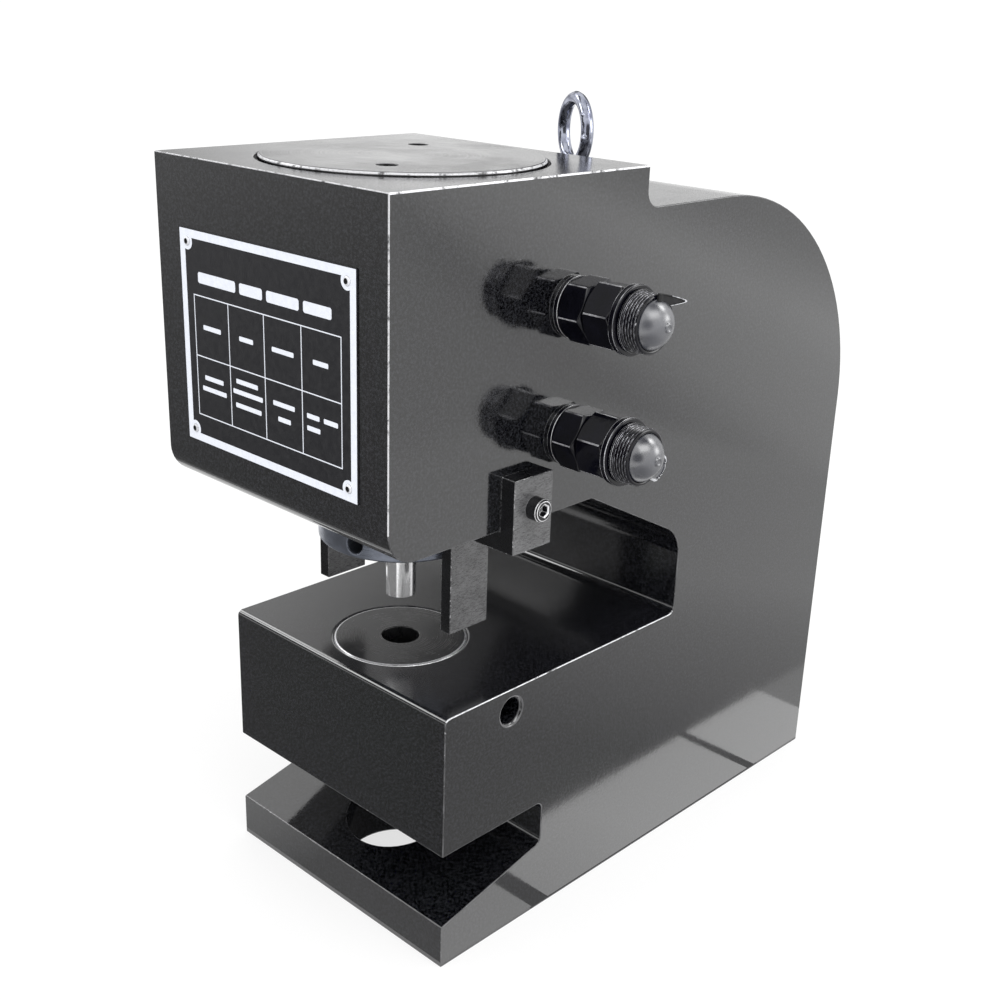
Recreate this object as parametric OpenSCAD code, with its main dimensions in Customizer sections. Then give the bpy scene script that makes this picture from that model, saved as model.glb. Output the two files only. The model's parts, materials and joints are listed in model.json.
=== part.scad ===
// Bench hydraulic punching machine: a C-shaped steel block with a double-acting
// cylinder in its head, a punch and die, two strippers and two hose couplers.
// Millimetres. Origin: centre of the foot's underside. X across, with the hose
// couplers on the +X side; Y front to back, with the head facing -Y; Z up.

/* [Frame] */
// Width of the frame from side to side
body_w = 190; // [170:1:240]
// Length of the foot from front to back
foot_len = 381; // [360:1:470]
// How far the head stands out in front of the foot
head_overhang = 42; // [20:1:60]
// Length of the thick head from its front face to the step
head_len = 190; // [180:1:230]
// Height of the head from its underside to its top
head_h = 185.5; // [155:0.5:240]
// Drop from the head's top to the rear deck
deck_drop = 23; // [15:1:32]
// Clear height between the die block and the head
throat_h = 101; // [98:1:130]
// Depth of the throat behind the front of the die block
throat_depth = 204; // [190:1:230]
// Length of the throat roof's level part, from the head's front face
roof_len = 156.5; // [145:0.5:185]
// Fall of the throat roof's rear part, in degrees
roof_slope = 27.3; // [15:0.1:32]
// Height of the die block
jaw_h = 88.5; // [70:0.5:110]
// Height of the slug space's ceiling above the floor
slot_top = 76; // [66:1:90]
// Depth of the slug space behind the front of the foot
slot_depth = 83.5; // [75:0.5:110]
// Thickness of the foot at its front edge
foot_t = 28; // [22:1:34]
// Rise of the foot's top towards the back, in degrees
foot_slope = 12.9; // [5:0.1:15]
// Diameter of the slug hole through the foot
foot_hole_d = 68; // [50:1:80]

/* [Cylinder] */
// How far the cap stands out of the head
cap_proud = 2; // [1:0.5:4]
// Thickness of the wall left under the bore
floor_t = 15.5; // [12:0.5:20]
// Height of the gland ring on the bore's floor
gland_h = 18; // [16:1:20]
// Working stroke of the ram
stroke = 30; // [20:1:34]
// Diameter of the ram's rod
ram_d = 98; // [80:1:112]
// Width of the oil space between the rod and the bore
oil_w = 16; // [13:0.5:19]
// Width of the shoulder that the top cap sits on
cap_seat_w = 13; // [9:0.5:15]
// Height of the piston's full-width land
land_h = 32; // [30:1:40]
// How far the rod stands out of the head at rest
ram_reach = 32.5; // [28:0.5:38]
// Distance of the oil ports behind the punch axis
port_offset = 37; // [20:1:42]

/* [Tooling] */
// Diameter of the punch's working end
punch_d = 18; // [10:0.5:22]
// Length of the punch below the ram
punch_len = 40; // [34:0.5:41]
// Diameter of the punch's shank inside the ram
shank_d = 28; // [24:1:34]
// Length of the punch's shank
shank_len = 45; // [35:1:60]
// Diameter of the die insert
die_d = 82; // [70:1:90]
// Thickness of the die insert
die_t = 35; // [30:1:45]
// Diameter of the hole in the die
die_hole_d = 23; // [22.5:0.5:28]
// Diameter of the slug hole below the die
slug_d = 40; // [36:1:50]

/* [Strippers] */
// Depth of each stripper, front to back
stripper_w = 30; // [24:1:36]
// Thickness of the plate screwed to the head's side
stripper_plate_t = 10; // [8:0.5:14]
// Thickness of the arm and the leg
leg_t = 8; // [6:0.5:12]
// Gap between the ram and each leg
leg_gap = 1.4; // [1:0.1:4]
// Clear height between the die block and the legs
leg_lift = 26; // [20:0.5:28]
// Height of the side plate above the head's underside
plate_rise = 31; // [26:0.5:36]

/* [Couplers] */
// Length of the adapter's hexagon
adapter_len = 16; // [12:1:20]
// Diameter of the coupler's hose thread
thread_d = 31.6; // [28:0.2:38]
// Length of the coupler's hose thread
thread_len = 9.7; // [8:0.1:14]
// Travel of the check ball
ball_travel = 3; // [2:0.5:4]

/* [Fittings] */
// Width of the nameplate
plate_w = 146.6; // [120:0.2:150]
// Height of the nameplate
plate_h = 119; // [90:1:125]
// Outer diameter of the eye bolt's ring
eye_d = 46; // [40:1:60]
// Thickness of the eye bolt's ring
eye_bar = 8.2; // [6:0.2:12]
// Direction that the eye bolt's ring lies in, in degrees
eye_turn = -27; // [-90:1:90]

/* [Hidden] */
$fn = 96;

// Colours
paint = [0.16, 0.16, 0.17];
steel = [0.72, 0.72, 0.74];
oxide = [0.20, 0.20, 0.21];
seal_green = [0.30, 0.42, 0.36];
bronze = [0.62, 0.50, 0.28];
rubber = [0.10, 0.10, 0.11];

// Clearances
cut = 1;              // how far a cut runs past the face it opens
dip = 0.003;          // how far a rounding arc dips past the edges that it blends
fit = 0.05;           // radial clearance of a seated or screwed piece
slide_fit = 0.05;     // radial clearance of the rod in its gland ring
land_fit = 0.1;       // radial clearance of the piston's land in the bore
rod_gap = 0.4;        // radial gap between the rod and the bore's floor
stop_gap = 1;         // gap left at each end of the ram's stroke

// Corner radii of the frame
step_r = 9.5;
rear_r = 152;
nose_r = 19;
jaw_edge_r = 3.5;
throat_floor_r = 5;
throat_roof_r = 24;
slot_r = 5;

edge = 1;             // chamfer of turned edges

// Rod wiper, in the mouth of the rod's hole
wiper_h = 7;
wiper_t = 6;

// Places of the frame's main faces. The throat's roof stays level past the wiper.
foot_front = -foot_len / 2;
foot_rear = foot_len / 2;
head_front = foot_front - head_overhang;
head_rear = head_front + head_len;
punch_y = head_front + head_len / 2;
jaw_z = slot_top + jaw_h;
head_z = jaw_z + throat_h;
head_top = head_z + head_h;
deck_z = head_top - deck_drop;
side_x = body_w / 2;
throat_rear = foot_front + throat_depth;
roof_bend = head_front + max(roof_len, head_len / 2 + ram_d / 2 + wiper_t + edge);
roof_rear_z = head_z - (throat_rear - roof_bend) * tan(roof_slope);
slot_rear = foot_front + slot_depth;
foot_rear_t = foot_t + slot_depth * tan(foot_slope);

// The cylinder: heights from the bore's floor upwards, with the ram at rest
bore_d = ram_d + 2 * oil_w;
cap_d = bore_d + 2 * cap_seat_w;
gland_z = head_z + floor_t;
gland_top = gland_z + gland_h;
neck_h = 14;          // reduced shoulder under the piston's land
crown_h = 10;         // reduced crown above it
neck_d = ram_d + oil_w; // diameter of both
neck_z = gland_top + stop_gap + stroke;
land_z = neck_z + neck_h;
crown_z = land_z + land_h;
piston_top = crown_z + crown_h;
spigot_z = piston_top + 2 * stop_gap;
spigot_h = 14;
cap_seat = spigot_z + spigot_h;
cap_top = head_top + cap_proud;
ram_end = head_z - ram_reach;

// Piston and cap grooves: height and depth of each
guide_groove_h = 9;
guide_groove_t = 3;
piston_groove_h = 10;
piston_groove_t = 6.5;
guide_z = land_z + 4;
piston_groove_z = crown_z - 5 - piston_groove_h;
ring_groove_h = 5.4;  // static seals
ring_groove_t = 4.5;
rod_groove_h = 8;
rod_groove_t = 6;
rod_groove_z = gland_z + 6;
mouth_w = 2;          // groove round the cap
mouth_h = 4;
spanner_d = 11.5;
spanner_r = 49.4;
spanner_h = 14;
spanner_turn = 128;

// Oil ports
port_y = punch_y + port_offset;
port_d = 20;
port_h = 16;
drill_d = 8;
upper_z = crown_z + crown_h / 2;
lower_z = gland_top + neck_h - drill_d / 2 + 0.7;
bore_chord_x = sqrt(pow(bore_d / 2, 2) - pow(port_offset, 2));

// Screws of the tooling
punch_screw_d = 10;
punch_screw_len = 25;
punch_screw_z = ram_end + 8;
punch_screw_turn = -75;
die_screw_d = 16;
die_screw_len = 30;
die_screw_z = jaw_z - 14.5;
screw_mouth = 1.5;    // chamfer of a set screw's hole
notch = 1.4;          // depth of the groove that a set screw bites into
die_land = 14;        // straight length of the die's hole
die_relief = 3;       // radial step below it

// Strippers and their screws
leg_x = ram_d / 2 + leg_gap;
arm_z = head_z - 11.5;
leg_z = jaw_z + leg_lift;
plate_top = head_z + plate_rise;
clamp_d = 8;
clamp_len = 16;
clamp_head_d = 13;
clamp_head_h = 8;
clamp_socket_af = 6;
clamp_socket_h = 4.5;
clamp_z = head_z + 13;

// Eye bolt
eye_y = head_rear + 46;
eye_lift = 31;
eye_shank_d = 12;
eye_shank_len = 22;
eye_collar_d = 26;
eye_collar_h = 7;

// Nameplate
plate_t = 0.8;
plate_z = head_z + head_h / 2 - 4.25;
rivet_d = 2.6;
rivet_len = 5;
rivet_head_d = 5;
rivet_head_h = 1.1;
rivet_inset = 7;

// Couplers: stations along the axis from the head's side face
washer_t = 3;
washer_d = port_d + 14;
adapter_end = washer_t + adapter_len;
body_start = adapter_end + 1;
flange_at = body_start + 18.5;
flange_t = 4;
flange_groove_t = 0.7;
bead_t = 1.6;
thread_at = flange_at + flange_t + flange_groove_t + bead_t;
nose_end = thread_at + thread_len;

// Couplers: widths
coupler_af = thread_d + 1.4;
adapter_af = coupler_af - 1;
neck_ring_d = thread_d - 2.6; // relief between the hexagons and beside the flange
flange_d = thread_d + 6.2;
bead_d = thread_d + 1.8;
mouth_d = thread_d - 4.4;     // mouth of the coupler round the dust plug
mouth_depth = 4;
throat_d = mouth_d - 4.6;     // narrower socket behind the mouth
throat_at = thread_at - 0.5;
oil_d = 7;
upper_turn = 21;              // turn of each coupler body's hexagon
lower_turn = 11;
adapter_turn = 17;            // further turn of the adapter's hexagon
chamfer_rise = 30;            // slope of the hexagons' end chamfers, in degrees

// Check balls, and the adapter's stub that stops them
ball_d = 12;
chamber_d = ball_d + 0.6;
seat_d = 9;
seat_at = throat_at - 2.5;
ball_at = seat_at - sqrt(pow(ball_d / 2, 2) - pow(seat_d / 2, 2)) - fit;
spring_bore_d = 11;
spring_seat = adapter_end - 5;
stub_d = 18.2;
stub_end = ball_at - ball_travel - sqrt(pow(ball_d / 2, 2) - pow(spring_bore_d / 2, 2)) - fit;
stub_groove_h = 3.2;
stub_groove_t = 2;
stub_groove_at = adapter_end + 4;

// Dust plugs
plug_fit = 0.3;
plug_stem_d = throat_d - 2 * fit;
plug_stem_at = throat_at + 1;
plug_rim_at = nose_end - mouth_depth;
dome_d = mouth_d + 1.6;
dome_at = nose_end - 5.7;
nub_d = 5;
nub_h = 1;
ear_t = 1.8;
ear_w = 13;
upper_ear = [22, 25.5];       // direction in degrees above +Y, reach from the axis
lower_ear = [-45, 17.5];

// Check springs
wire_d = 1;
coil_d = 8.6;
coil_turns = 8;
coil_steps = 14;      // points in a turn
wire_sides = 6;

function heading(a) = [cos(a), sin(a)];

// What lies between a corner and the arc that rounds it, and a little beyond the
// corner's edges. The edges leave the corner in the directions a and b, in
// degrees, with b the larger.
module corner_web(corner, a, b, r) {
    half = (b - a) / 2;
    mid = (a + b) / 2;
    centre = corner + r / sin(half) * heading(mid);
    reach = r + cut;
    difference() {
        polygon([
            centre, centre + reach * heading(a - 90),
            centre - reach / sin(half) * heading(mid), centre + reach * heading(b + 90)
        ]);
        translate(centre) circle(r = r + dip);
    }
}

module frame_profile() {
    difference() {
        union() {
            translate([foot_front, 0]) square([foot_len, head_top]);
            translate([head_front, head_z]) square([head_len, head_h]);
        }
        step_profile();
        throat_profile();
        slot_profile();
        corner_web([foot_rear, deck_z], 180, 270, rear_r);
        corner_web([head_front, head_z], 0, 90, nose_r);
        corner_web([foot_front, jaw_z], 270, 360, jaw_edge_r);
    }
}

// Each void's profile keeps the webs that fill its inner corners
module step_profile() {
    difference() {
        translate([head_rear, deck_z]) square([foot_rear - head_rear + cut, deck_drop + cut]);
        corner_web([head_rear, deck_z], 0, 90, step_r);
    }
}

module throat_profile() {
    front = head_front - cut;
    difference() {
        polygon([
            [front, jaw_z], [throat_rear, jaw_z], [throat_rear, roof_rear_z],
            [roof_bend, head_z], [front, head_z]
        ]);
        corner_web([throat_rear, jaw_z], 90, 180, throat_floor_r);
        corner_web([throat_rear, roof_rear_z], 180 - roof_slope, 270, throat_roof_r);
    }
}

module slot_profile() {
    front = foot_front - cut;
    difference() {
        polygon([
            [front, foot_t - cut * tan(foot_slope)], [slot_rear, foot_rear_t],
            [slot_rear, slot_top], [front, slot_top]
        ]);
        corner_web([slot_rear, foot_rear_t], 90, 180 + foot_slope, slot_r);
        corner_web([slot_rear, slot_top], 180, 270, slot_r);
    }
}

// Places its children on the punch axis
module on_punch_axis() {
    translate([0, punch_y, 0]) children();
}

// Stands its children out of the head's +X side, with their +Z along +X
module out_of_side(y, z, x = side_x) {
    translate([x, y, z]) rotate([0, 90, 0]) children();
}

// A straight round cut from z to z_end
module bored(d, z, z_end) {
    translate([0, 0, z]) cylinder(d = d, h = z_end - z);
}

// A ring of rectangular section from z to z_end
module ring(inner_d, outer_d, z, z_end) {
    difference() {
        bored(outer_d, z, z_end);
        bored(inner_d, z - cut, z_end + cut);
    }
}

// A turned solid. Each point of the profile is [radius, height].
module turned(profile) {
    rotate_extrude() polygon(profile);
}

module hex_prism(af, h) {
    cylinder(d = af / cos(30), h = h, $fn = 6);
}

module c_frame() {
    color(paint)
    difference() {
        rotate([90, 0, 90]) linear_extrude(height = body_w, center = true) frame_profile();
        on_punch_axis() {
            bored(bore_d, gland_z, head_top + cut);
            bored(cap_d + 2 * fit, cap_seat, head_top + cut);
            bored(cap_d + 2 * mouth_w, head_top - mouth_h, head_top + cut);
            bored(ram_d + 2 * rod_gap, head_z - cut, gland_z + cut);
            bored(ram_d + 2 * wiper_t, head_z - cut, head_z + wiper_h);
            bored(slug_d, slot_top - cut, jaw_z);
            bored(die_d + 2 * fit, jaw_z - die_t, jaw_z + cut);
            translate([0, 0, jaw_z - edge])
                cylinder(d1 = die_d + 2 * fit, d2 = die_d + 2 * fit + 4 * edge, h = 2 * edge);
            bored(foot_hole_d, -cut, foot_rear_t + slot_r + cut);
        }
        for (z = [upper_z, lower_z]) port_cut(z);
        die_screw_cut();
        for (side = [-1, 1])
            translate([side * side_x, punch_y, clamp_z]) rotate([0, -90 * side, 0])
                bored(clamp_d + 2 * fit, -cut, clamp_len + cut);
        translate([0, eye_y, deck_z]) bored(eye_shank_d + 2 * fit, -eye_shank_len - cut, cut);
        at_rivets() bored(rivet_d + 2 * fit, -rivet_len - cut, cut);
    }
}

module port_cut(z) {
    out_of_side(port_y, z) bored(port_d + 2 * fit, -port_h, cut);
    out_of_side(port_y, z, 0) bored(drill_d, bore_chord_x - drill_d / 2, side_x);
}

module die_screw_cut() {
    out_of_side(punch_y, die_screw_z, 0) {
        bored(die_screw_d + 2 * fit, die_d / 2 - edge, side_x + cut);
        translate([0, 0, side_x - screw_mouth])
            cylinder(d1 = die_screw_d, d2 = die_screw_d + 4 * screw_mouth, h = 2 * screw_mouth);
    }
}

module cylinder_cap() {
    spigot_r = bore_d / 2 - fit;
    cap_r = cap_d / 2;
    groove_z = spigot_z + 4;
    color(paint) on_punch_axis()
    difference() {
        turned([
            [0, spigot_z], [spigot_r - edge, spigot_z], [spigot_r, spigot_z + edge],
            [spigot_r, cap_seat], [cap_r, cap_seat], [cap_r, cap_top - edge],
            [cap_r - edge, cap_top], [0, cap_top]
        ]);
        ring(bore_d - 2 * ring_groove_t, bore_d + cut, groove_z, groove_z + ring_groove_h);
        for (turn = [spanner_turn, spanner_turn + 180])
            rotate(turn) translate([spanner_r, 0]) bored(spanner_d, cap_top - spanner_h, cap_top + cut);
    }
}

module cap_seal() {
    z = spigot_z + 4;
    color(seal_green) on_punch_axis()
        ring(bore_d - 2 * ring_groove_t, bore_d - fit, z + fit, z + ring_groove_h - fit);
}

module ram() {
    rod_r = ram_d / 2;
    neck_r = neck_d / 2;
    land_r = bore_d / 2 - land_fit;
    color(steel) on_punch_axis()
    difference() {
        turned([
            [0, ram_end], [rod_r - edge, ram_end], [rod_r, ram_end + edge],
            [rod_r, neck_z], [neck_r, neck_z], [neck_r, land_z], [land_r, land_z],
            [land_r, crown_z], [neck_r, crown_z], [neck_r, piston_top], [0, piston_top]
        ]);
        ring(2 * land_r - 2 * guide_groove_t, bore_d + cut, guide_z, guide_z + guide_groove_h);
        ring(2 * land_r - 2 * piston_groove_t, bore_d + cut, piston_groove_z,
            piston_groove_z + piston_groove_h);
        bored(shank_d + 2 * fit, ram_end - cut, ram_end + shank_len + fit);
        along_punch_screw() {
            bored(punch_screw_d + 2 * fit, shank_d / 2 - edge, rod_r + cut);
            translate([0, 0, rod_r - edge])
                cylinder(d1 = punch_screw_d, d2 = punch_screw_d + 4 * edge, h = 2 * edge);
        }
    }
}

module piston_seal() {
    inner_d = bore_d - 2 * land_fit - 2 * piston_groove_t;
    color(seal_green) on_punch_axis()
        ring(inner_d, bore_d - land_fit, piston_groove_z + fit,
            piston_groove_z + piston_groove_h - fit);
}

module piston_guide_ring() {
    inner_d = bore_d - 2 * land_fit - 2 * guide_groove_t;
    color(bronze) on_punch_axis()
        ring(inner_d, bore_d - land_fit, guide_z + fit, guide_z + guide_groove_h - fit);
}

module gland_ring() {
    seal_z = gland_top - 4 - ring_groove_h;
    color(bronze) on_punch_axis()
    difference() {
        ring(ram_d + 2 * slide_fit, bore_d - 2 * fit, gland_z, gland_top);
        ring(bore_d - 2 * ring_groove_t, bore_d + cut, seal_z, seal_z + ring_groove_h);
        ring(ram_d - cut, ram_d + 2 * rod_groove_t, rod_groove_z, rod_groove_z + rod_groove_h);
    }
}

module gland_seal() {
    z = gland_top - 4 - ring_groove_h;
    color(seal_green) on_punch_axis()
        ring(bore_d - 2 * ring_groove_t, bore_d - fit, z + fit, z + ring_groove_h - fit);
}

module rod_seal() {
    color(seal_green) on_punch_axis()
        ring(ram_d + 2 * slide_fit, ram_d + 2 * rod_groove_t, rod_groove_z + fit,
            rod_groove_z + rod_groove_h - fit);
}

module rod_wiper() {
    lip_r = ram_d / 2 + slide_fit;
    outer_r = ram_d / 2 + wiper_t;
    color(rubber) on_punch_axis()
        turned([
            [lip_r, head_z + edge], [lip_r + 2 * edge, head_z + fit], [outer_r, head_z + fit],
            [outer_r, head_z + wiper_h], [lip_r, head_z + wiper_h]
        ]);
}

module along_punch_screw() {
    rotate(punch_screw_turn) translate([0, 0, punch_screw_z]) rotate([0, 90, 0]) children();
}

module punch() {
    shank_r = shank_d / 2;
    tip_r = punch_d / 2;
    tip_edge = 0.3;
    tip_z = ram_end - punch_len;
    root_r = 2;
    color(steel) on_punch_axis()
    rotate_extrude()
    difference() {
        polygon([
            [0, tip_z], [tip_r - tip_edge, tip_z], [tip_r, tip_z + tip_edge],
            [tip_r, ram_end - root_r], [tip_r + root_r, ram_end - root_r],
            [tip_r + root_r, ram_end], [shank_r, ram_end],
            [shank_r, ram_end + shank_len - edge], [shank_r - edge, ram_end + shank_len],
            [0, ram_end + shank_len]
        ]);
        translate([tip_r + root_r, ram_end - root_r]) circle(r = root_r);
        set_screw_notch(shank_r, punch_screw_z, punch_screw_d / 2);
    }
}

// The V-sided groove round a shank or die that a set screw bites into
module set_screw_notch(r, z, half_h) {
    polygon([
        [r - notch, z - half_h], [r + notch, z - half_h - 2 * notch],
        [r + notch, z + half_h + 2 * notch], [r - notch, z + half_h]
    ]);
}

// A set screw along +Z with its flat point at z = 0 and a hexagon socket at the other end
module set_screw(d, h, af) {
    difference() {
        turned([
            [0, 0], [d / 2 - edge, 0], [d / 2, edge], [d / 2, h - edge],
            [d / 2 - edge, h], [0, h]
        ]);
        translate([0, 0, h - af]) hex_prism(af, af + cut);
    }
}

module punch_set_screw() {
    color(oxide) on_punch_axis() along_punch_screw()
        translate([0, 0, shank_d / 2 - notch + fit]) set_screw(punch_screw_d, punch_screw_len, 5);
}

module die() {
    die_r = die_d / 2;
    hole_r = die_hole_d / 2;
    low = jaw_z - die_t;
    land_low = jaw_z - die_land;
    color(oxide) on_punch_axis()
    rotate_extrude()
    difference() {
        polygon([
            [hole_r + die_relief, low], [die_r - edge, low], [die_r, low + edge],
            [die_r, jaw_z - edge], [die_r - edge, jaw_z], [hole_r, jaw_z],
            [hole_r, land_low], [hole_r + die_relief, land_low]
        ]);
        set_screw_notch(die_r, die_screw_z, die_screw_d / 2);
    }
}

module die_set_screw() {
    color(oxide) out_of_side(punch_y, die_screw_z, die_d / 2 - notch + fit)
        set_screw(die_screw_d, die_screw_len, 8);
}

module stripper() {
    outer_x = side_x + stripper_plate_t;
    hole_d = clamp_d + 1;
    color(oxide)
    difference() {
        translate([0, punch_y, 0]) rotate([90, 0, 0])
            linear_extrude(height = stripper_w, center = true)
            polygon([
                [side_x, plate_top], [outer_x, plate_top], [outer_x, arm_z],
                [leg_x + leg_t, arm_z], [leg_x + leg_t, leg_z], [leg_x, leg_z],
                [leg_x, head_z], [side_x, head_z]
            ]);
        out_of_side(punch_y, clamp_z) bored(hole_d, -cut, stripper_plate_t + cut);
    }
}

module clamp_screw() {
    head_r = clamp_head_d / 2;
    color(oxide) out_of_side(punch_y, clamp_z, side_x + stripper_plate_t)
    difference() {
        turned([
            [0, -stripper_plate_t - clamp_len], [clamp_d / 2 - edge, -stripper_plate_t - clamp_len],
            [clamp_d / 2, -stripper_plate_t - clamp_len + edge], [clamp_d / 2, 0], [head_r, 0],
            [head_r, clamp_head_h - edge], [head_r - edge, clamp_head_h], [0, clamp_head_h]
        ]);
        translate([0, 0, clamp_head_h - clamp_socket_h])
            hex_prism(clamp_socket_af, clamp_socket_h + cut);
    }
}

module stripper_right() { stripper(); }
module stripper_left() { mirror([1, 0, 0]) stripper(); }
module stripper_screw_right() { clamp_screw(); }
module stripper_screw_left() { mirror([1, 0, 0]) clamp_screw(); }

module eye_bolt() {
    ring_r = (eye_d - eye_bar) / 2;
    ring_low = eye_lift - eye_d / 2;
    neck_d = 11;
    collar_r = eye_collar_d / 2;
    color(steel) translate([0, eye_y, deck_z]) {
        turned([
            [0, -eye_shank_len], [eye_shank_d / 2 - edge, -eye_shank_len],
            [eye_shank_d / 2, edge - eye_shank_len], [eye_shank_d / 2, 0], [collar_r, 0],
            [collar_r, eye_collar_h / 2], [neck_d / 2, eye_collar_h],
            [neck_d / 2 - 1.5, ring_low + eye_bar / 2], [0, ring_low + eye_bar / 2]
        ]);
        rotate(eye_turn) translate([0, 0, eye_lift]) rotate([90, 0, 0])
            rotate_extrude() translate([ring_r, 0]) circle(d = eye_bar);
    }
}

// Puts its children at the four rivets, with +Z out of the head's front face
module at_rivets() {
    for (x = [-1, 1], z = [-1, 1])
        translate([x * (plate_w / 2 - rivet_inset), head_front, plate_z])
            translate([0, 0, z * (plate_h / 2 - rivet_inset)]) rotate([90, 0, 0]) children();
}

module nameplate() {
    color(rubber)
    difference() {
        translate([-plate_w / 2, head_front - plate_t, plate_z - plate_h / 2])
            cube([plate_w, plate_t, plate_h]);
        at_rivets() bored(rivet_d + 2 * fit, -cut, plate_t + cut);
    }
}

module nameplate_rivets() {
    dome_r = (pow(rivet_head_d / 2, 2) + pow(rivet_head_h, 2)) / (2 * rivet_head_h);
    color(steel) at_rivets() {
        bored(rivet_d, -rivet_len, plate_t + rivet_head_h / 2);
        intersection() {
            translate([0, 0, plate_t + rivet_head_h - dome_r]) sphere(r = dome_r);
            bored(rivet_head_d + cut, plate_t, plate_t + rivet_head_h + cut);
        }
    }
}

// A hexagon from z to z_end with a chamfer at both ends
module chamfered_hex(af, z, z_end) {
    corner_r = af / 2 / cos(30);
    flat_r = af / 2 - 0.4;
    rise = (corner_r - flat_r) * tan(chamfer_rise);
    intersection() {
        translate([0, 0, z]) hex_prism(af, z_end - z);
        turned([
            [0, z], [flat_r, z], [corner_r, z + rise], [corner_r, z_end - rise],
            [flat_r, z_end], [0, z_end]
        ]);
    }
}

module port_washer() {
    ring(port_d + 2 * fit, washer_d, 0, washer_t);
}

module adapter(turn) {
    difference() {
        union() {
            bored(port_d, -port_h + cut, washer_t + cut);
            rotate(turn + adapter_turn) chamfered_hex(adapter_af, washer_t, adapter_end);
            bored(stub_d, adapter_end - cut, stub_end);
        }
        bored(oil_d, -port_h - cut, stub_end + cut);
        bored(spring_bore_d, spring_seat, stub_end + cut);
        ring(stub_d - 2 * stub_groove_t, stub_d + cut, stub_groove_at,
            stub_groove_at + stub_groove_h);
    }
}

module adapter_seal() {
    ring(stub_d - 2 * stub_groove_t, stub_d, stub_groove_at + fit,
        stub_groove_at + stub_groove_h - fit);
}

module coupler(turn) {
    flange_end = flange_at + flange_t;
    bead_at = flange_end + flange_groove_t;
    difference() {
        union() {
            bored(neck_ring_d, adapter_end, nose_end - edge);
            rotate(turn) chamfered_hex(coupler_af, body_start, flange_at);
            turned([
                [0, flange_at], [flange_d / 2 - edge, flange_at], [flange_d / 2, flange_at + edge],
                [flange_d / 2, flange_end - edge], [flange_d / 2 - edge, flange_end],
                [0, flange_end]
            ]);
            bored(bead_d, bead_at, bead_at + bead_t);
            turned([
                [0, thread_at], [thread_d / 2, thread_at], [thread_d / 2, nose_end - edge],
                [thread_d / 2 - edge, nose_end], [0, nose_end]
            ]);
        }
        bored(stub_d + 2 * fit, adapter_end - cut, stub_end + cut);
        bored(chamber_d, stub_end, seat_at);
        bored(seat_d, seat_at - cut, throat_at + cut);
        bored(throat_d, throat_at, nose_end);
        bored(mouth_d, nose_end - mouth_depth, nose_end + cut);
    }
}

module check_ball() {
    translate([0, 0, ball_at]) sphere(d = ball_d);
}

module dust_plug(ear) {
    dome_end = dome_at + dome_d / 2;
    bored(plug_stem_d, plug_stem_at, plug_rim_at + cut);
    intersection() {
        translate([0, 0, dome_at]) sphere(d = dome_d);
        bored(mouth_d - 2 * plug_fit, plug_rim_at + fit, dome_end + cut);
    }
    bored(nub_d, dome_end - cut, dome_end + nub_h);
    // direction 0 of the ear is along +Y
    rotate(90 - ear[0]) plug_ear(ear[1]);
}

// A flat pointed ear on the dome just in front of the coupler's nose
module plug_ear(reach) {
    tip_r = 1.5;
    root = dome_d / 2 - 6;
    translate([0, 0, nose_end + plug_fit]) linear_extrude(height = ear_t)
    union() {
        polygon([
            [root, -ear_w / 2], [reach - tip_r, -tip_r], [reach - tip_r, tip_r],
            [root, ear_w / 2]
        ]);
        translate([reach - tip_r, 0]) circle(r = tip_r);
    }
}

// Height of the spring's wire after a number of turns: the first and last
// turns lie closed, and those between share the rest of the length
function coil_height(turns, length) =
    let (closed = wire_d + fit, open = (length - wire_d - 2 * closed) / (coil_turns - 2))
    wire_d / 2 + closed * min(turns, 1) + open * min(max(turns - 1, 0), coil_turns - 2)
    + closed * max(turns - coil_turns + 1, 0);

module check_spring() {
    length = ball_at - spring_seat + wire_d / 2 - fit
        - sqrt(pow((ball_d + wire_d) / 2, 2) - pow((coil_d - wire_d) / 2, 2));
    rings = coil_turns * coil_steps;
    points = [
        for (i = [0 : rings], j = [0 : wire_sides - 1])
        let (a = 360 * i / coil_steps, w = 360 * j / wire_sides)
        let (r = coil_d / 2 - wire_d / 2 + wire_d / 2 * cos(w))
        [r * cos(a), r * sin(a), spring_seat + coil_height(i / coil_steps, length)
            + wire_d / 2 * sin(w)]
    ];
    sides = [
        for (i = [0 : rings - 1], j = [0 : wire_sides - 1])
        let (a = i * wire_sides + j, b = i * wire_sides + (j + 1) % wire_sides)
        [a, b, b + wire_sides, a + wire_sides]
    ];
    first_end = [for (j = [wire_sides - 1 : -1 : 0]) j];
    last_end = [for (j = [0 : wire_sides - 1]) rings * wire_sides + j];
    polyhedron(points, concat(sides, [first_end, last_end]));
}

module upper_port_washer() { color(oxide) out_of_side(port_y, upper_z) port_washer(); }
module upper_adapter() { color(oxide) out_of_side(port_y, upper_z) adapter(upper_turn); }
module upper_adapter_seal() { color(seal_green) out_of_side(port_y, upper_z) adapter_seal(); }
module upper_coupler() { color(oxide) out_of_side(port_y, upper_z) coupler(upper_turn); }
module upper_check_spring() { color(steel) out_of_side(port_y, upper_z) check_spring(); }
module upper_check_ball() { color(steel) out_of_side(port_y, upper_z) check_ball(); }
module upper_dust_plug() { color(rubber) out_of_side(port_y, upper_z) dust_plug(upper_ear); }
module lower_port_washer() { color(oxide) out_of_side(port_y, lower_z) port_washer(); }
module lower_adapter() { color(oxide) out_of_side(port_y, lower_z) adapter(lower_turn); }
module lower_adapter_seal() { color(seal_green) out_of_side(port_y, lower_z) adapter_seal(); }
module lower_coupler() { color(oxide) out_of_side(port_y, lower_z) coupler(lower_turn); }
module lower_check_spring() { color(steel) out_of_side(port_y, lower_z) check_spring(); }
module lower_check_ball() { color(steel) out_of_side(port_y, lower_z) check_ball(); }
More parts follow.
